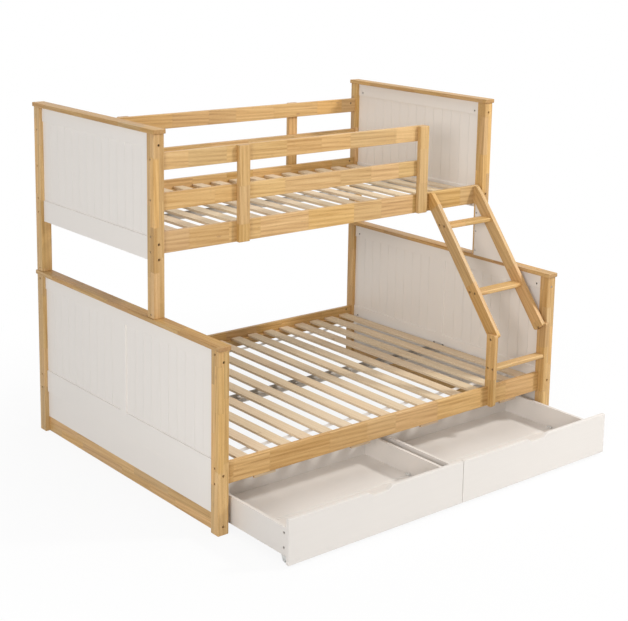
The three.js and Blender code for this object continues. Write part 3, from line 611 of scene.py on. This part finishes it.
class Hardware:
    """Bolt heads, screws and nuts that share a material and a body, gathered into one piece."""

    def __init__(self, name, material, body):
        self.name, self.material, self.body = name, material, body
        self.parts = []

    def head(self, point, outward, radius, height, recess="hex", sunk=0.0):
        """A turned head with a driven recess; its foot lies sunk below the point."""
        outward = Vector(outward).normalized()
        turn = outward.to_track_quat("Z", "Y").to_matrix().to_4x4()
        place = Matrix.Translation(Vector(point) - outward * sunk) @ turn
        inner = RECESS[recess] * radius
        deep = min(height * 0.6, radius * 0.45)

        def reach(k):
            angle = 2 * math.pi * k / HEAD_SIDES
            if recess == "hex":
                return inner * math.cos(math.pi / 6) / math.cos(angle % (math.pi / 3) - math.pi / 6)
            narrow = SLOT_HALF * radius
            c, s = abs(math.cos(angle)), abs(math.sin(angle))
            arm_x = min(inner / max(c, 1e-6), narrow / max(s, 1e-6))
            arm_y = min(inner / max(s, 1e-6), narrow / max(c, 1e-6))
            return max(arm_x, arm_y) if recess == "cross" else arm_x

        rings = [[(radius * wide, height * tall)] * HEAD_SIDES for wide, tall in HEAD_PROFILE]
        for share, z in ((1, height), (RECESS_TAPER, height - deep)):
            rings.append([(reach(k) * share, z) for k in range(HEAD_SIDES)])
        bm = bmesh.new()
        made = []
        for ring in rings:
            row = []
            for k, (r, z) in enumerate(ring):
                angle = 2 * math.pi * k / HEAD_SIDES
                row.append(bm.verts.new((r * math.cos(angle), r * math.sin(angle), z)))
            made.append(row)
        for low, high in zip(made, made[1:]):
            bridge(bm, low, high)
        bm.faces.new(made[-1])
        bm.faces.new(list(reversed(made[0])))
        bm.transform(place)
        self.parts.append(bm)

    def fasten(self, point, outward, kind):
        """A head in a hole of its own; gives the hole to cut."""
        self.head(point, outward, kind.radius, kind.height, kind.recess, kind.sunk)
        return (point, -outward, kind.hole, kind.depth)

    def done(self):
        make(self.name, self.parts, self.material, self.body)


# Dark bolt heads and nuts, together with the dark rings of painted counterbore shade under the stringer and
# leg bolts
bolts = Hardware("bed_bolts_and_shade_rings", "bolt", "bed")
brasses = Hardware("bed_brass_bolts", "brass", "bed")
screws = Hardware("bed_screws", "screw", "bed")

# In a hole: the hole's radius and depth, the head's radius and height, and how deep its foot lies
Fastener = namedtuple("Fastener", "hole depth radius height sunk recess")
POST_BOLT = Fastener(0.0058, 0.014, 0.0052, 0.004, 0.0120, "hex")
SIDE_BOLT = Fastener(0.0050, 0.010, 0.0036, 0.003, 0.0055, "hex")
CAP_SCREW = Fastener(0.0033, 0.004, 0.0031, 0.002, 0.003, "cross")
PANEL_NUT = Fastener(0.0052, 0.008, 0.0049, 0.003, 0.005, "slot")
GUSSET_SCREW = Fastener(0.0050, 0.005, 0.0042, 0.002, 0.0040, "cross")
DRAWER_BOLT = Fastener(0.0056, 0.009, 0.0052, 0.003, 0.0055, "hex")
# On a face: radius, height, recess and how deep the foot lies
RAIL_NUT = (0.0048, 0.0012, "slot", 0.0006)
LEDGER_SCREW = (0.0032, 0.0008, "cross", 0.0004)
PLATE_BOLT = (0.0062, 0.0032)
GUARD_BOLT = (0.0042, 0.0016)

# Posts: heights of the bolts into the end panel, which lie along Y, and into the rails, along X
POST_HOLES = {
    "lower": {"panel": (727.5, 253, 37), "rail": (758, 284, 218)},
    "upper": {"panel": (1527.5, 1112, 1047), "rail": (1468, 1298, 1144.5, 1078.5, 810)},
}
SILVER_BOLT = ("right", "front", "lower", 727.5)
SILVER_SUNK = 0.0050


def post(level, end, face):
    name = f"{level}_{end}_{face}_post"
    low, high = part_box(name)
    middle = (low + high) / 2
    face_y, out_y = (low.y, -Y) if face == "front" else (high.y, Y)
    face_x, out_x = (low.x, -X) if end == "left" else (high.x, X)
    holes = []
    for height in POST_HOLES[level]["panel"]:
        point = (middle.x, face_y, height / 1000)
        if (end, face, level, height) == SILVER_BOLT:
            holes.append(screws.fasten(point, out_y, POST_BOLT._replace(sunk=SILVER_SUNK)))
        else:
            holes.append(bolts.fasten(point, out_y, POST_BOLT))
    group = bolts if level == "lower" else screws
    for height in POST_HOLES[level]["rail"]:
        holes.append(group.fasten((face_x, middle.y, height / 1000), out_x, SIDE_BOLT))
    bm = drilled(slab(low, high, WOOD_EDGE), holes)
    lay_grain(bm, Z, X, (2, 2))
    timber(name, [bm], "post")


CAP_CORNER = 0.005
CAP_EDGE = 0.0026
CAP_SCREWS = (99, 749, 1400)


def cap(level, end):
    name = f"{level}_{end}_cap"
    low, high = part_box(name)
    holes = []
    if level == "lower":
        for y in CAP_SCREWS:
            point = ((low.x + high.x) / 2, at(0, y, 0).y, high.z)
            holes.append(screws.fasten(point, Z, CAP_SCREW))
    outline = rounded(rectangle(low.x, low.y, high.x, high.y), [CAP_CORNER] * 4)
    bm = drilled(prism(outline, 2, low.z, high.z, CAP_EDGE), holes)
    lay_grain(bm, Y, X, (2, 1))
    timber(name, [bm], "cap")


# White end panels: frame, stile, grooved boards and the plain board at the foot
FIELD_INSET = 0.005
TOP_RAIL = 0.066
MID_RAIL = {"lower": (200, 306), "upper": (1036, 1136)}
STILE_HALF = 0.025
TUCK = 0.002
NUT_FROM_SIDE = 0.033
GROOVE_PITCH = 0.065
GROOVE_HALF = 0.0012
GROOVE_SLIT = 0.0008
GROOVE_TAPER = 0.8
GROOVE_LIP = 0.0004
GROOVE_DEEP = 0.0032
GROOVE_CLEAR = 0.004
# A lower panel's first grooves lie beside the stile; an upper one has a groove in the middle
FIRST_GROOVE = 0.0985
LOWER_GROOVES, UPPER_GROOVES = 9, 6


def groove_places(level, middle):
    """The grooves across a panel; the outermost ones may lie past its edge."""
    if level == "upper":
        return [middle + k * GROOVE_PITCH for k in range(-UPPER_GROOVES, UPPER_GROOVES + 1)]
    steps = [FIRST_GROOVE + k * GROOVE_PITCH for k in range(LOWER_GROOVES)]
    return sorted(middle + side * step for side in (-1, 1) for step in steps)


def grooved(x, y, z, grooves):
    """A field of boards: a slab with upright grooves in both faces, where they fit."""
    inside = [g for g in grooves if y[0] + GROOVE_CLEAR < g < y[1] - GROOVE_CLEAR]
    half = [(-GROOVE_HALF, 0.0), (-GROOVE_SLIT, GROOVE_LIP), (-GROOVE_SLIT * GROOVE_TAPER, GROOVE_DEEP)]

    def face(face_x, inward, order):
        points = []
        for g in inside[::order]:
            points += [(face_x + inward * deep, g + order * away) for away, deep in half]
            points += [(face_x + inward * deep, g - order * away) for away, deep in half[::-1]]
        return points

    outline = [(x[0], y[0]), *face(x[0], 1, 1), (x[0], y[1]),
               (x[1], y[1]), *face(x[1], -1, -1), (x[1], y[0])]
    return prism(outline, 2, z[0], z[1], 0)


def end_panel(level, end):
    name = f"{level}_{end}_end_panel"
    low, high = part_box(name)
    inner, inward = (high.x, X) if end == "left" else (low.x, -X)
    rail_bottom, rail_top = (v / 1000 for v in MID_RAIL[level])
    middle = (low.y + high.y) / 2

    def rail(bottom, top, heights):
        holes = []
        for height in heights:
            for y in (low.y + NUT_FROM_SIDE, high.y - NUT_FROM_SIDE):
                holes.append(bolts.fasten((inner, y, height / 1000), inward, PANEL_NUT))
        return drilled(slab((low.x, low.y, bottom), (high.x, high.y, top), PAINTED_EDGE), holes)

    top_nut, *lower_nuts = POST_HOLES[level]["panel"]
    rail_nuts = [height for height in lower_nuts if rail_bottom < height / 1000 < rail_top]
    parts = [rail(high.z - TOP_RAIL, high.z, [top_nut]), rail(rail_bottom, rail_top, rail_nuts)]
    field_x = (low.x + FIELD_INSET, high.x - FIELD_INSET)
    field_z = (rail_top - TUCK, high.z - TOP_RAIL + TUCK)
    parts.append(grooved(field_x, (low.y, high.y), field_z, groove_places(level, middle)))
    if level == "lower":
        parts.append(slab((low.x, middle - STILE_HALF, field_z[0]), (high.x, middle + STILE_HALF, field_z[1]),
                          PAINTED_EDGE))
        parts.append(slab((field_x[0], low.y, low.z), (field_x[1], high.y, rail_bottom + TUCK), FINE_EDGE))
    make(f"{name}_paint", parts, "panel", "bed", [name])


def plank(name, along, wide, staves=(1, 1), bevel=WOOD_EDGE, material="honey"):
    """A CAD board replaced by one with fine edges and grain."""
    low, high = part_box(name)
    bm = slab(low, high, bevel)
    lay_grain(bm, along, wide, staves)
    timber(name, [bm], material)


# Gusset: how far its foot and its head reach from the back edge, and its screws
GUSSET_FOOT = 0.235
GUSSET_HEAD = 0.034
GUSSET_ROUNDS = [0.012, 0.001, 0.001, 0.008]
GUSSET_EDGE = 0.0012
GUSSET_SCREWS = (1013.5, 918, 820)
GUSSET_SCREW_IN = 0.008


def gusset():
    name = "upper_right_gusset"
    low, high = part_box(name)
    corners = [(high.y - GUSSET_FOOT, low.z), (high.y, low.z),
               (high.y, high.z), (high.y - GUSSET_HEAD, high.z)]
    holes = []
    for height in GUSSET_SCREWS:
        holes.append(screws.fasten((low.x, high.y - GUSSET_SCREW_IN, height / 1000), -X, GUSSET_SCREW))
    bm = drilled(prism(rounded(corners, GUSSET_ROUNDS), 0, low.x, high.x, GUSSET_EDGE), holes)
    make("gusset_paint", [bm], "panel", "bed", [name])


# Side rails with their ledgers, and the stops of the drawers under the lower front one
RAIL_THICK = 0.022
RAIL_HIGH = 0.092
LEDGER = 0.020
LEDGER_TUCK = 0.001
LEDGER_SCREWS = range(75, 1920, 235)
SEAT = 0.0445
NUT_FROM_END = 0.034
NUT_BELOW_TOP = 0.0145
STOPS = (262.25, 786.25, 1203.75, 1727.75)
STOP_HALF = 0.055
STOP_THICK = 0.012


def nut_row(xs, inner_y, sign, height):
    """Barrel nuts in a board's inner face."""
    for x in xs:
        bolts.head((x, inner_y, height), sign * Y, *RAIL_NUT)


def side_rail(level, face):
    name = f"{level}_{face}_side_rail"
    low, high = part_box(name)
    bottom = high.z - RAIL_HIGH
    seat = bottom + SEAT
    sign, outer = (1, low.y) if face == "front" else (-1, high.y)
    inner = outer + sign * RAIL_THICK
    y0, y1 = sorted((outer, inner))
    rail = slab((low.x, y0, bottom), (high.x, y1, high.z), WOOD_EDGE)
    lay_grain(rail, X, Z)
    y0, y1 = sorted((inner - sign * LEDGER_TUCK, inner + sign * LEDGER))
    ledger = slab((low.x, y0, seat - LEDGER), (high.x, y1, seat), FINE_EDGE)
    lay_grain(ledger, X, Z)
    for x in LEDGER_SCREWS:
        point = (at(x, 0, 0).x, inner + sign * LEDGER, seat - LEDGER / 2)
        screws.head(point, sign * Y, *LEDGER_SCREW)
    timber(name, [rail, ledger], "honey")
    if (level, face) == ("lower", "front"):
        drawer_stops(inner, low.z, seat - LEDGER_TUCK)
    nut_row((low.x + NUT_FROM_END, high.x - NUT_FROM_END), inner, sign, high.z - NUT_BELOW_TOP)


def drawer_stops(inner, bottom, top):
    blocks = []
    for x in STOPS:
        centre = at(x, 0, 0).x
        corners = (centre - STOP_HALF, inner, bottom), (centre + STOP_HALF, inner + STOP_THICK, top)
        blocks.append(lay_grain(slab(*corners, FINE_EDGE), X, Z))
    make("drawer_stop_blocks", blocks, "slat", "bed")


# Slats on their two straps
SLAT_COUNT = 17
SLAT_WIDE = 0.057
SLAT_THICK = 0.012
SLAT_EDGE = 0.0022
FAN_TURN = 9
FAN_BACK = (0.018, -0.030)
STRAP_FROM_END = 0.150
STRAP_WIDE = 0.025
STRAP_THICK = 0.0011
STRAP_GAP = 0.0001
# A strap leaves a slat this far inside its edge, and sags between two slats
STRAP_INSET, STRAP_SAG, SAG_STEPS = 0.003, 0.0022, 6
# Two staples hold a strap under each slat
STAPLE_ENDS = (0.018, 0.028)
STAPLE_HALF = 0.0005
STAPLE_DEPTH = (0.0016, 0.0006)
STAPLE_SIDES = (0.010, -0.010)


def fan(level, k):
    """How far a lower slat's back end stands off its regular place; the front ends keep theirs."""
    if level == "upper":
        return 0.0
    if k <= FAN_TURN:
        return FAN_BACK[0] * k / FAN_TURN
    return FAN_BACK[0] + (FAN_BACK[1] - FAN_BACK[0]) * (k - FAN_TURN) / (SLAT_COUNT - 1 - FAN_TURN)


def strap_line(left_edges):
    """A strap's upper side from slat to slat, as places along the bed and below the slats."""
    line = []
    for left, following in zip(left_edges, left_edges[1:] + [None]):
        start, end = left + STRAP_INSET, left + SLAT_WIDE - STRAP_INSET
        line += [(start, 0.0), (end, 0.0)]
        if following is None:
            continue
        gap = following - left - SLAT_WIDE + 2 * STRAP_INSET
        for s in range(1, SAG_STEPS):
            t = s / SAG_STEPS
            line.append((end + gap * t, -STRAP_SAG * 4 * t * (1 - t)))
    return line


def slats(level):
    name = f"{level}_slats"
    low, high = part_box(name)
    pitch = (high.x - low.x - SLAT_WIDE) / (SLAT_COUNT - 1)
    under = high.z - SLAT_THICK
    strap_ys = (low.y + STRAP_FROM_END, high.y - STRAP_FROM_END)

    def left_edge(k, y):
        return low.x + k * pitch + fan(level, k) * (y - low.y) / (high.y - low.y)

    boards = []
    for k in range(SLAT_COUNT):
        front = left_edge(k, low.y)
        bm = slab((front, low.y, under), (front + SLAT_WIDE, high.y, high.z), SLAT_EDGE)
        lay_grain(bm, Y, X)
        for v in bm.verts:
            v.co.x += left_edge(k, v.co.y) - front
        boards.append(bm)
        for y in strap_ys:
            start, end = (left_edge(k, y) + reach for reach in STAPLE_ENDS)
            for side in STAPLE_SIDES:
                screws.parts.append(slab((start, y + side - STAPLE_HALF, under - STAPLE_DEPTH[0]),
                                         (end, y + side + STAPLE_HALF, under - STAPLE_DEPTH[1]), 0.0003, 1))
    make(f"{name}_boards", boards, "slat", "bed", [name])
    tapes = []
    for y in strap_ys:
        line = strap_line([left_edge(k, y) for k in range(SLAT_COUNT)])
        top = under - STRAP_GAP
        outline = [(x, top + z) for x, z in line] + [(x, top + z - STRAP_THICK) for x, z in reversed(line)]
        tapes.append(prism(outline, 1, y - STRAP_WIDE / 2, y + STRAP_WIDE / 2, 0))
    make(f"{level}_slat_straps", tapes, "strap", "bed")


# Folded channel under the slats, with a plate at each end
BEAM_WALL = 0.0025
BEAM_WIDE = 0.070
BEAM_HIGH = 0.020
BEAM_ABOVE_FOOT = 0.003
BEAM_INTO_PLATE = 0.001
BEAM_OUTSIDE, BEAM_INSIDE, BEAM_RIM = 0.004, 0.002, 0.0008
PLATE_CORNER = 0.006
PLATE_BOLTS = (-0.033, 0.033)
PLATE_BOLT_BELOW = 0.009


def beam(level):
    name = f"{level}_centre_beam"
    low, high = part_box(name)
    middle = (low.y + high.y) / 2
    half, wall = BEAM_WIDE / 2, BEAM_WALL
    bottom = low.z + BEAM_ABOVE_FOOT
    top = bottom + BEAM_HIGH
    left, right = middle - half, middle + half
    outline = [(left, bottom), (right, bottom), (right, top), (right - wall, top),
               (right - wall, bottom + wall), (left + wall, bottom + wall), (left + wall, top), (left, top)]
    radii = [BEAM_OUTSIDE, BEAM_OUTSIDE, BEAM_RIM, BEAM_RIM, BEAM_INSIDE, BEAM_INSIDE, BEAM_RIM, BEAM_RIM]
    parts = [prism(rounded(outline, radii), 0, low.x + BEAM_INTO_PLATE, high.x - BEAM_INTO_PLATE, 0)]
    plate = rounded(rectangle(low.y, low.z, high.y, high.z), [PLATE_CORNER] * 4)
    for x, sign in ((low.x, 1), (high.x, -1)):
        inside = x + sign * wall
        parts.append(prism(plate, 0, *sorted((x, inside)), 0.0005, 2))
        for side in PLATE_BOLTS:
            bolts.head((inside, middle + side, high.z - PLATE_BOLT_BELOW), sign * X, *PLATE_BOLT)
    make(f"{name}_channel", parts, "beam", "bed", [name])


# Guards: nuts above a rail's middle, and on each upright a slanted pair of bolts for each rail
GUARD_NUT_UP = 0.012
GUARD_MIDDLE, SIDE_MIDDLE = 0.037, 0.046
BOLT_PAIR = ((-0.016, -0.0096), (0.016, 0.0096))


def guard_rail(row, face):
    name = f"guard_{face}_{row}_rail"
    low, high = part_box(name)
    plank(name, X, Z)
    height = (low.z + high.z) / 2 + GUARD_NUT_UP
    if face == "front":
        nut_row((low.x + NUT_FROM_END,), high.y, 1, height)
    else:
        nut_row((low.x + NUT_FROM_END, high.x - NUT_FROM_END), low.y, -1, height)


def guard_upright(side, face):
    name = f"guard_{face}_{side}_upright"
    low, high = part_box(name)
    plank(name, Z, X)
    centre = (low.x + high.x) / 2
    for rail in (f"guard_{face}_top_rail", f"guard_{face}_lower_rail", f"upper_{face}_side_rail"):
        rail_low, rail_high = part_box(rail)
        middle = rail_high.z - (GUARD_MIDDLE if "guard" in rail else SIDE_MIDDLE)
        y = rail_low.y + RAIL_THICK if face == "front" else high.y
        for aside, up in BOLT_PAIR:
            screws.head((centre + aside, y, middle + up), Y, *GUARD_BOLT)


# Ladder, in the bed's millimetres: a stringer runs back by LEAN for each unit up, and is RUN deep
LEAN = 0.773
FRONT_AT_600 = 24
RUN = 78
STRINGER_FOOT = 548
# A stringer's top lies against the upper side rail, above a step below the rail
STEP_HEIGHT, STRINGER_TOP, STRINGER_FACE = 1069.5, 1158.5, 482.7
CREST, CREST_DROP = 6, 45
STRINGER_ROUNDS = [0.010, 0.012, 0.001, 0.001, 0.012, 0.020, 0.060]
STRINGER_BOLTS = [(height, shift) for height in (1006, 719) for shift in (-16, 16)]
BOLT_UP, BOLT_LINE_UP = 3, 10
STRINGER_BOLT_RADIUS = 0.0060
# The dark ring under a bolt head is painted shade of its counterbore; these are the ring's and the head's
# shares of the hole's radius
SHADE_RING_SHARE, HEAD_SHARE = 0.96, 0.60
COUNTERBORE = 0.0040
# A leg's outline: front, notch against the lower side rail, back; foot, seat on the rail, top
LEG_FRONT, LEG_NOTCH, LEG_BACK = -18, 15.7, 36
LEG_FOOT, LEG_SEAT, LEG_TOP = 204, 298.3, 556
LEG_ROUNDS = [0.014, 0.006, 0.001, 0.004, 0.007, 0.010]
FOOT_BOLT = (11, 532)
LEG_BOLTS = ((*FOOT_BOLT, 0.0064), (-9, 391, 0.0058), (21, 391, 0.0058))
RUNG_ROUNDS = [0.007, 0.004, 0.004, 0.006]
RUNG_EDGE = 0.0008


def stringer_front(z):
    return FRONT_AT_600 + LEAN * (z - 600)


def yz(y, z):
    place = at(0, y, z)
    return (place.y, place.z)


def ringed(x, y, z, outward, radius):
    """A bolt head on a dark ring in a counterbore, the ring painted shade of the counterbore, at y and z in
    millimetres; gives the hole to cut.
    """
    point = (x, *yz(y, z))
    # Painted shade: a dark ring standing for the shadow in the counterbore round the head
    bolts.head(point, outward, radius * SHADE_RING_SHARE, 0.0008, sunk=0.0036)
    brasses.head(point, outward, radius * HEAD_SHARE, 0.0018, sunk=0.0030)
    return (point, -outward, radius, COUNTERBORE)


def stringer(side):
    name = f"ladder_{side}_stringer"
    low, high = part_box(name)
    outer, outward = (low.x, -X) if side == "left" else (high.x, X)
    # The foot is cut square to the front edge
    drop = RUN * LEAN / (1 + LEAN ** 2)
    outline = [(stringer_front(STRINGER_FOOT), STRINGER_FOOT),
               (stringer_front(STRINGER_FOOT) + drop / LEAN, STRINGER_FOOT - drop),
               (stringer_front(STEP_HEIGHT) + RUN, STEP_HEIGHT), (STRINGER_FACE, STEP_HEIGHT),
               (STRINGER_FACE, STRINGER_TOP), (stringer_front(STRINGER_TOP) + CREST, STRINGER_TOP),
               (stringer_front(STRINGER_TOP - CREST_DROP), STRINGER_TOP - CREST_DROP)]
    shape = rounded([yz(*corner) for corner in outline], STRINGER_ROUNDS)
    holes = []
    if side == "right":
        holes.append(ringed(low.x, *FOOT_BOLT, -X, STRINGER_BOLT_RADIUS))
    for height, shift in STRINGER_BOLTS:
        y = stringer_front(height + BOLT_LINE_UP) + RUN / 2 + shift
        holes.append(ringed(outer, y, height + BOLT_UP, outward, STRINGER_BOLT_RADIUS))
    slope = Vector((0, LEAN, 1)).normalized()
    bm = drilled(prism(shape, 0, low.x, high.x, WOOD_EDGE), holes)
    lay_grain(bm, slope, X.cross(slope))
    timber(name, [bm], "ladder")


def leg(side):
    name = f"ladder_{side}_leg"
    low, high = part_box(name)
    outer, outward = (low.x, -X) if side == "left" else (high.x, X)
    outline = [(LEG_FRONT, LEG_FOOT), (LEG_NOTCH, LEG_FOOT), (LEG_NOTCH, LEG_SEAT), (LEG_BACK, LEG_SEAT),
               (LEG_BACK, LEG_TOP), (LEG_FRONT, LEG_TOP)]
    shape = rounded([yz(*corner) for corner in outline], LEG_ROUNDS)
    holes = [ringed(outer, y, z, outward, radius) for y, z, radius in LEG_BOLTS]
    bm = drilled(prism(shape, 0, low.x, high.x, WOOD_EDGE), holes)
    lay_grain(bm, Z, Y)
    timber(name, [bm], "ladder")


def rung(place):
    name = f"ladder_{place}_rung"
    low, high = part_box(name)
    shape = rounded(rectangle(low.y, low.z, high.y, high.z), RUNG_ROUNDS)
    bm = prism(shape, 0, low.x, high.x, RUNG_EDGE, 2)
    lay_grain(bm, X, Y, (2, 1))
    timber(name, [bm], "honey")


# Drawers. A front's notch: half its width at the top and at its floor, and its depth
NOTCH_END, NOTCH_FLOOR, NOTCH_DEEP = 0.0655, 0.039, 0.016
FRONT_ROUNDS = [0.002, 0.002, 0.003, 0.013, 0.017, 0.017, 0.013, 0.003]
SIDE_INSET = 0.019
SIDE_THICK = 0.015
SIDE_BOTTOM = 0.030
# Behind the front a side's top steps down
STEP_LONG, STEP_DOWN, STEP_SLANT = 0.012, 0.005, 0.003
SIDE_ROUNDS = [0.001, 0.001, 0.003, 0.004, 0.002, 0.001]
SIDE_BOLTS = (0.124, 0.062)
SIDE_BOLT_IN = 0.038
# The floor's joint: a strip on each side of a filled slit, a batten below and a clip at each end
JOINT_FROM_FRONT = 0.280
FLOOR_BELOW, FLOOR_THICK = 0.002, 0.004
STRIP_INSET, STRIP_SHIFT, STRIP_HALF, STRIP_DOWN = 0.005, 0.0052, 0.0037, 0.004
SLIT_HALF, SLIT_BELOW = 0.0020, 0.0014
BATTEN_HALF, BATTEN_THICK = 0.009, 0.003
STRIP_EDGE = 0.0009
CLIP_IN, CLIP_LONG, CLIP_HALF, CLIP_UP, CLIP_DOWN = 0.006, 0.010, 0.012, 0.006, 0.0005


def drawer_front(prefix, body):
    name = f"{prefix}_front"
    low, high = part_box(name)
    middle = (low.x + high.x) / 2
    top, notch = high.z, high.z - NOTCH_DEEP
    outline = [(low.x, low.z), (high.x, low.z), (high.x, top),
               (middle + NOTCH_END, top), (middle + NOTCH_FLOOR, notch),
               (middle - NOTCH_FLOOR, notch), (middle - NOTCH_END, top), (low.x, top)]
    bm = prism(rounded(outline, FRONT_ROUNDS), 1, low.y, high.y, PAINTED_EDGE)
    drawer_board(name, bm, body)


def drawer_side(prefix, side, body, nuts, clips):
    name = f"{prefix}_{side}_side"
    low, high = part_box(name)
    front_low, front_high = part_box(f"{prefix}_front")
    outer, outward = (front_low.x + SIDE_INSET, -1) if side == "left" else (front_high.x - SIDE_INSET, 1)
    x0, x1 = sorted((outer, outer - outward * SIDE_THICK))
    top, stepped = high.z, high.z - STEP_DOWN
    outline = [(low.y, SIDE_BOTTOM), (high.y, SIDE_BOTTOM), (high.y, top), (low.y + STEP_LONG, top),
               (low.y + STEP_LONG - STEP_SLANT, stepped), (low.y, stepped)]
    holes = [nuts.fasten((outer, low.y + SIDE_BOLT_IN, height), outward * X, DRAWER_BOLT)
             for height in SIDE_BOLTS]
    bm = drilled(prism(rounded(outline, SIDE_ROUNDS), 0, x0, x1, PAINTED_EDGE), holes)
    drawer_board(name, bm, body)
    for place in FACES:
        node = f"{prefix}_wheel_{place}_{side}"
        caster(clips, *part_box(node), SIDE_BOTTOM, outer, outward)
        wheel(node, f"{body}_{place}_{side}_wheel")


def drawer_floor(prefix, body, clips):
    name = f"{prefix}_floor"
    low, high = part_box(name)
    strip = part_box(f"{prefix}_front")[1].y + JOINT_FROM_FRONT
    left, right = low.x + STRIP_INSET, high.x - STRIP_INSET
    sheet_top = high.z - FLOOR_BELOW
    parts = [slab((low.x, low.y, sheet_top - FLOOR_THICK), (high.x, high.y, sheet_top), 0)]
    for middle in (strip - STRIP_SHIFT, strip + STRIP_SHIFT):
        parts.append(slab((left, middle - STRIP_HALF, high.z - STRIP_DOWN),
                          (right, middle + STRIP_HALF, high.z), STRIP_EDGE))
    clips.parts.append(slab((left, strip - SLIT_HALF, high.z - STRIP_DOWN),
                            (right, strip + SLIT_HALF, high.z - SLIT_BELOW), 0.0002, 1))
    parts.append(slab((left, strip - BATTEN_HALF, low.z), (right, strip + BATTEN_HALF, low.z + BATTEN_THICK),
                      STRIP_EDGE))
    make(f"{name}_paint", parts, "drawer", body, [name])
    for x in (low.x + CLIP_IN, high.x - CLIP_IN - CLIP_LONG):
        clips.parts.append(slab((x, strip - CLIP_HALF, high.z - CLIP_DOWN),
                                (x + CLIP_LONG, strip + CLIP_HALF, high.z + CLIP_UP), 0.001))


def drawer(hand):
    body = f"{hand}_drawer"
    prefix = f"drawer_{hand}"
    nuts = Hardware(f"{prefix}_bolts", "bolt", body)
    clips = Hardware(f"{prefix}_brackets", "bracket", body)
    drawer_front(prefix, body)
    for side in SIDES:
        drawer_side(prefix, side, body, nuts, clips)
    back = f"{prefix}_back"
    drawer_board(back, slab(*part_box(back), PAINTED_EDGE), body)
    drawer_floor(prefix, body, clips)
    nuts.done()
    clips.done()


# Wheels and their forks
CHEEK = 0.0022
CHEEK_HALF = (0.017, 0.007)
CHEEK_FOOT = 0.005
CHEEK_ROUNDS = [0.001, 0.001, 0.006, 0.006]
CHEEK_INTO_SIDE = 0.0005
CHEEK_GAP, BRIDGE_GAP = 0.0002, 0.0001
BRIDGE = 0.0012
PIN_HEAD = (0.0032, 0.0008)
WHEEL_SIDES = 40


def caster(group, low, high, top, outer, outward):
    """A wheel's fork: a cheek in line with each face of the drawer side, a bridge and the pin's ends."""
    y, z = (low.y + high.y) / 2, (low.z + high.z) / 2
    inner = outer - outward * (SIDE_THICK - CHEEK_INTO_SIDE)
    broad, narrow = CHEEK_HALF
    corners = [(y - broad, top - CHEEK_GAP), (y + broad, top - CHEEK_GAP),
               (y + narrow, CHEEK_FOOT), (y - narrow, CHEEK_FOOT)]
    shape = rounded(corners, CHEEK_ROUNDS)
    for face, away in ((outer, outward), (inner, -outward)):
        x0, x1 = sorted((face, face - outward * CHEEK))
        group.parts.append(prism(shape, 0, x0, x1, 0.0005, 2))
        sunk = PIN_HEAD[1] if away == outward else 0
        group.head((x1 if away > 0 else x0, y, z), away * X, *PIN_HEAD, "slot", sunk)
    x0, x1 = sorted((outer, inner))
    over = top - BRIDGE_GAP
    group.parts.append(slab((x0, y - broad, over - BRIDGE), (x1, y + broad, over), 0.0004, 2))


def wheel(node, body):
    """A moulded wheel: rounded tread, a dished face and a hub round its bore."""
    low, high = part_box(node)
    middle = (low + high) / 2
    half = (high.x - low.x) / 2
    r = (high.z - low.z) / 2
    # Half the section, as radius and place along the pin: hub, dish, rim and tread
    profile = [(0.0034, half), (0.0060, half), (0.0066, half - 0.0015), (r - 0.0042, half - 0.0018),
               (r - 0.0036, half - 0.0004), (r - 0.0014, half - 0.0004), (r, half - 0.0022)]
    profile += [(radius, -x) for radius, x in reversed(profile)]
    bm = bmesh.new()
    rows = []
    for k in range(WHEEL_SIDES):
        angle = 2 * math.pi * k / WHEEL_SIDES
        rows.append([bm.verts.new((middle.x + x, middle.y + radius * math.cos(angle),
                                   middle.z + radius * math.sin(angle))) for radius, x in profile])
    for row, following in zip(rows, rows[1:] + rows[:1]):
        bridge(bm, row, following)
    bmesh.ops.recalc_face_normals(bm, faces=bm.faces)
    make(f"{node}_tread", [bm], "wheel", body, [node])


# The whole scene. Boards draw their grain at random, so their order matters
for end in SIDES:
    for level in ("lower", "upper"):
        for face in FACES:
            post(level, end, face)
        cap(level, end)
        end_panel(level, end)
    plank(f"lower_{end}_base_rail", Y, Z, (2, 1), 0.002, "post")
gusset()
for level in ("upper", "lower"):
    for face in FACES:
        side_rail(level, face)
    slats(level)
    beam(level)
for row in ("top", "lower"):
    for face in FACES:
        guard_rail(row, face)
for face in FACES:
    for side in SIDES:
        guard_upright(side, face)
for side in SIDES:
    stringer(side)
    leg(side)
for place in ("top", "middle", "bottom"):
    rung(place)
for hand in SIDES:
    drawer(hand)
for group in (bolts, brasses, screws):
    group.done()

make_world()
make_floor()
for lamp in LAMPS:
    area_light(*lamp)
make_camera()
bpy.context.scene.view_settings.view_transform = "Standard"
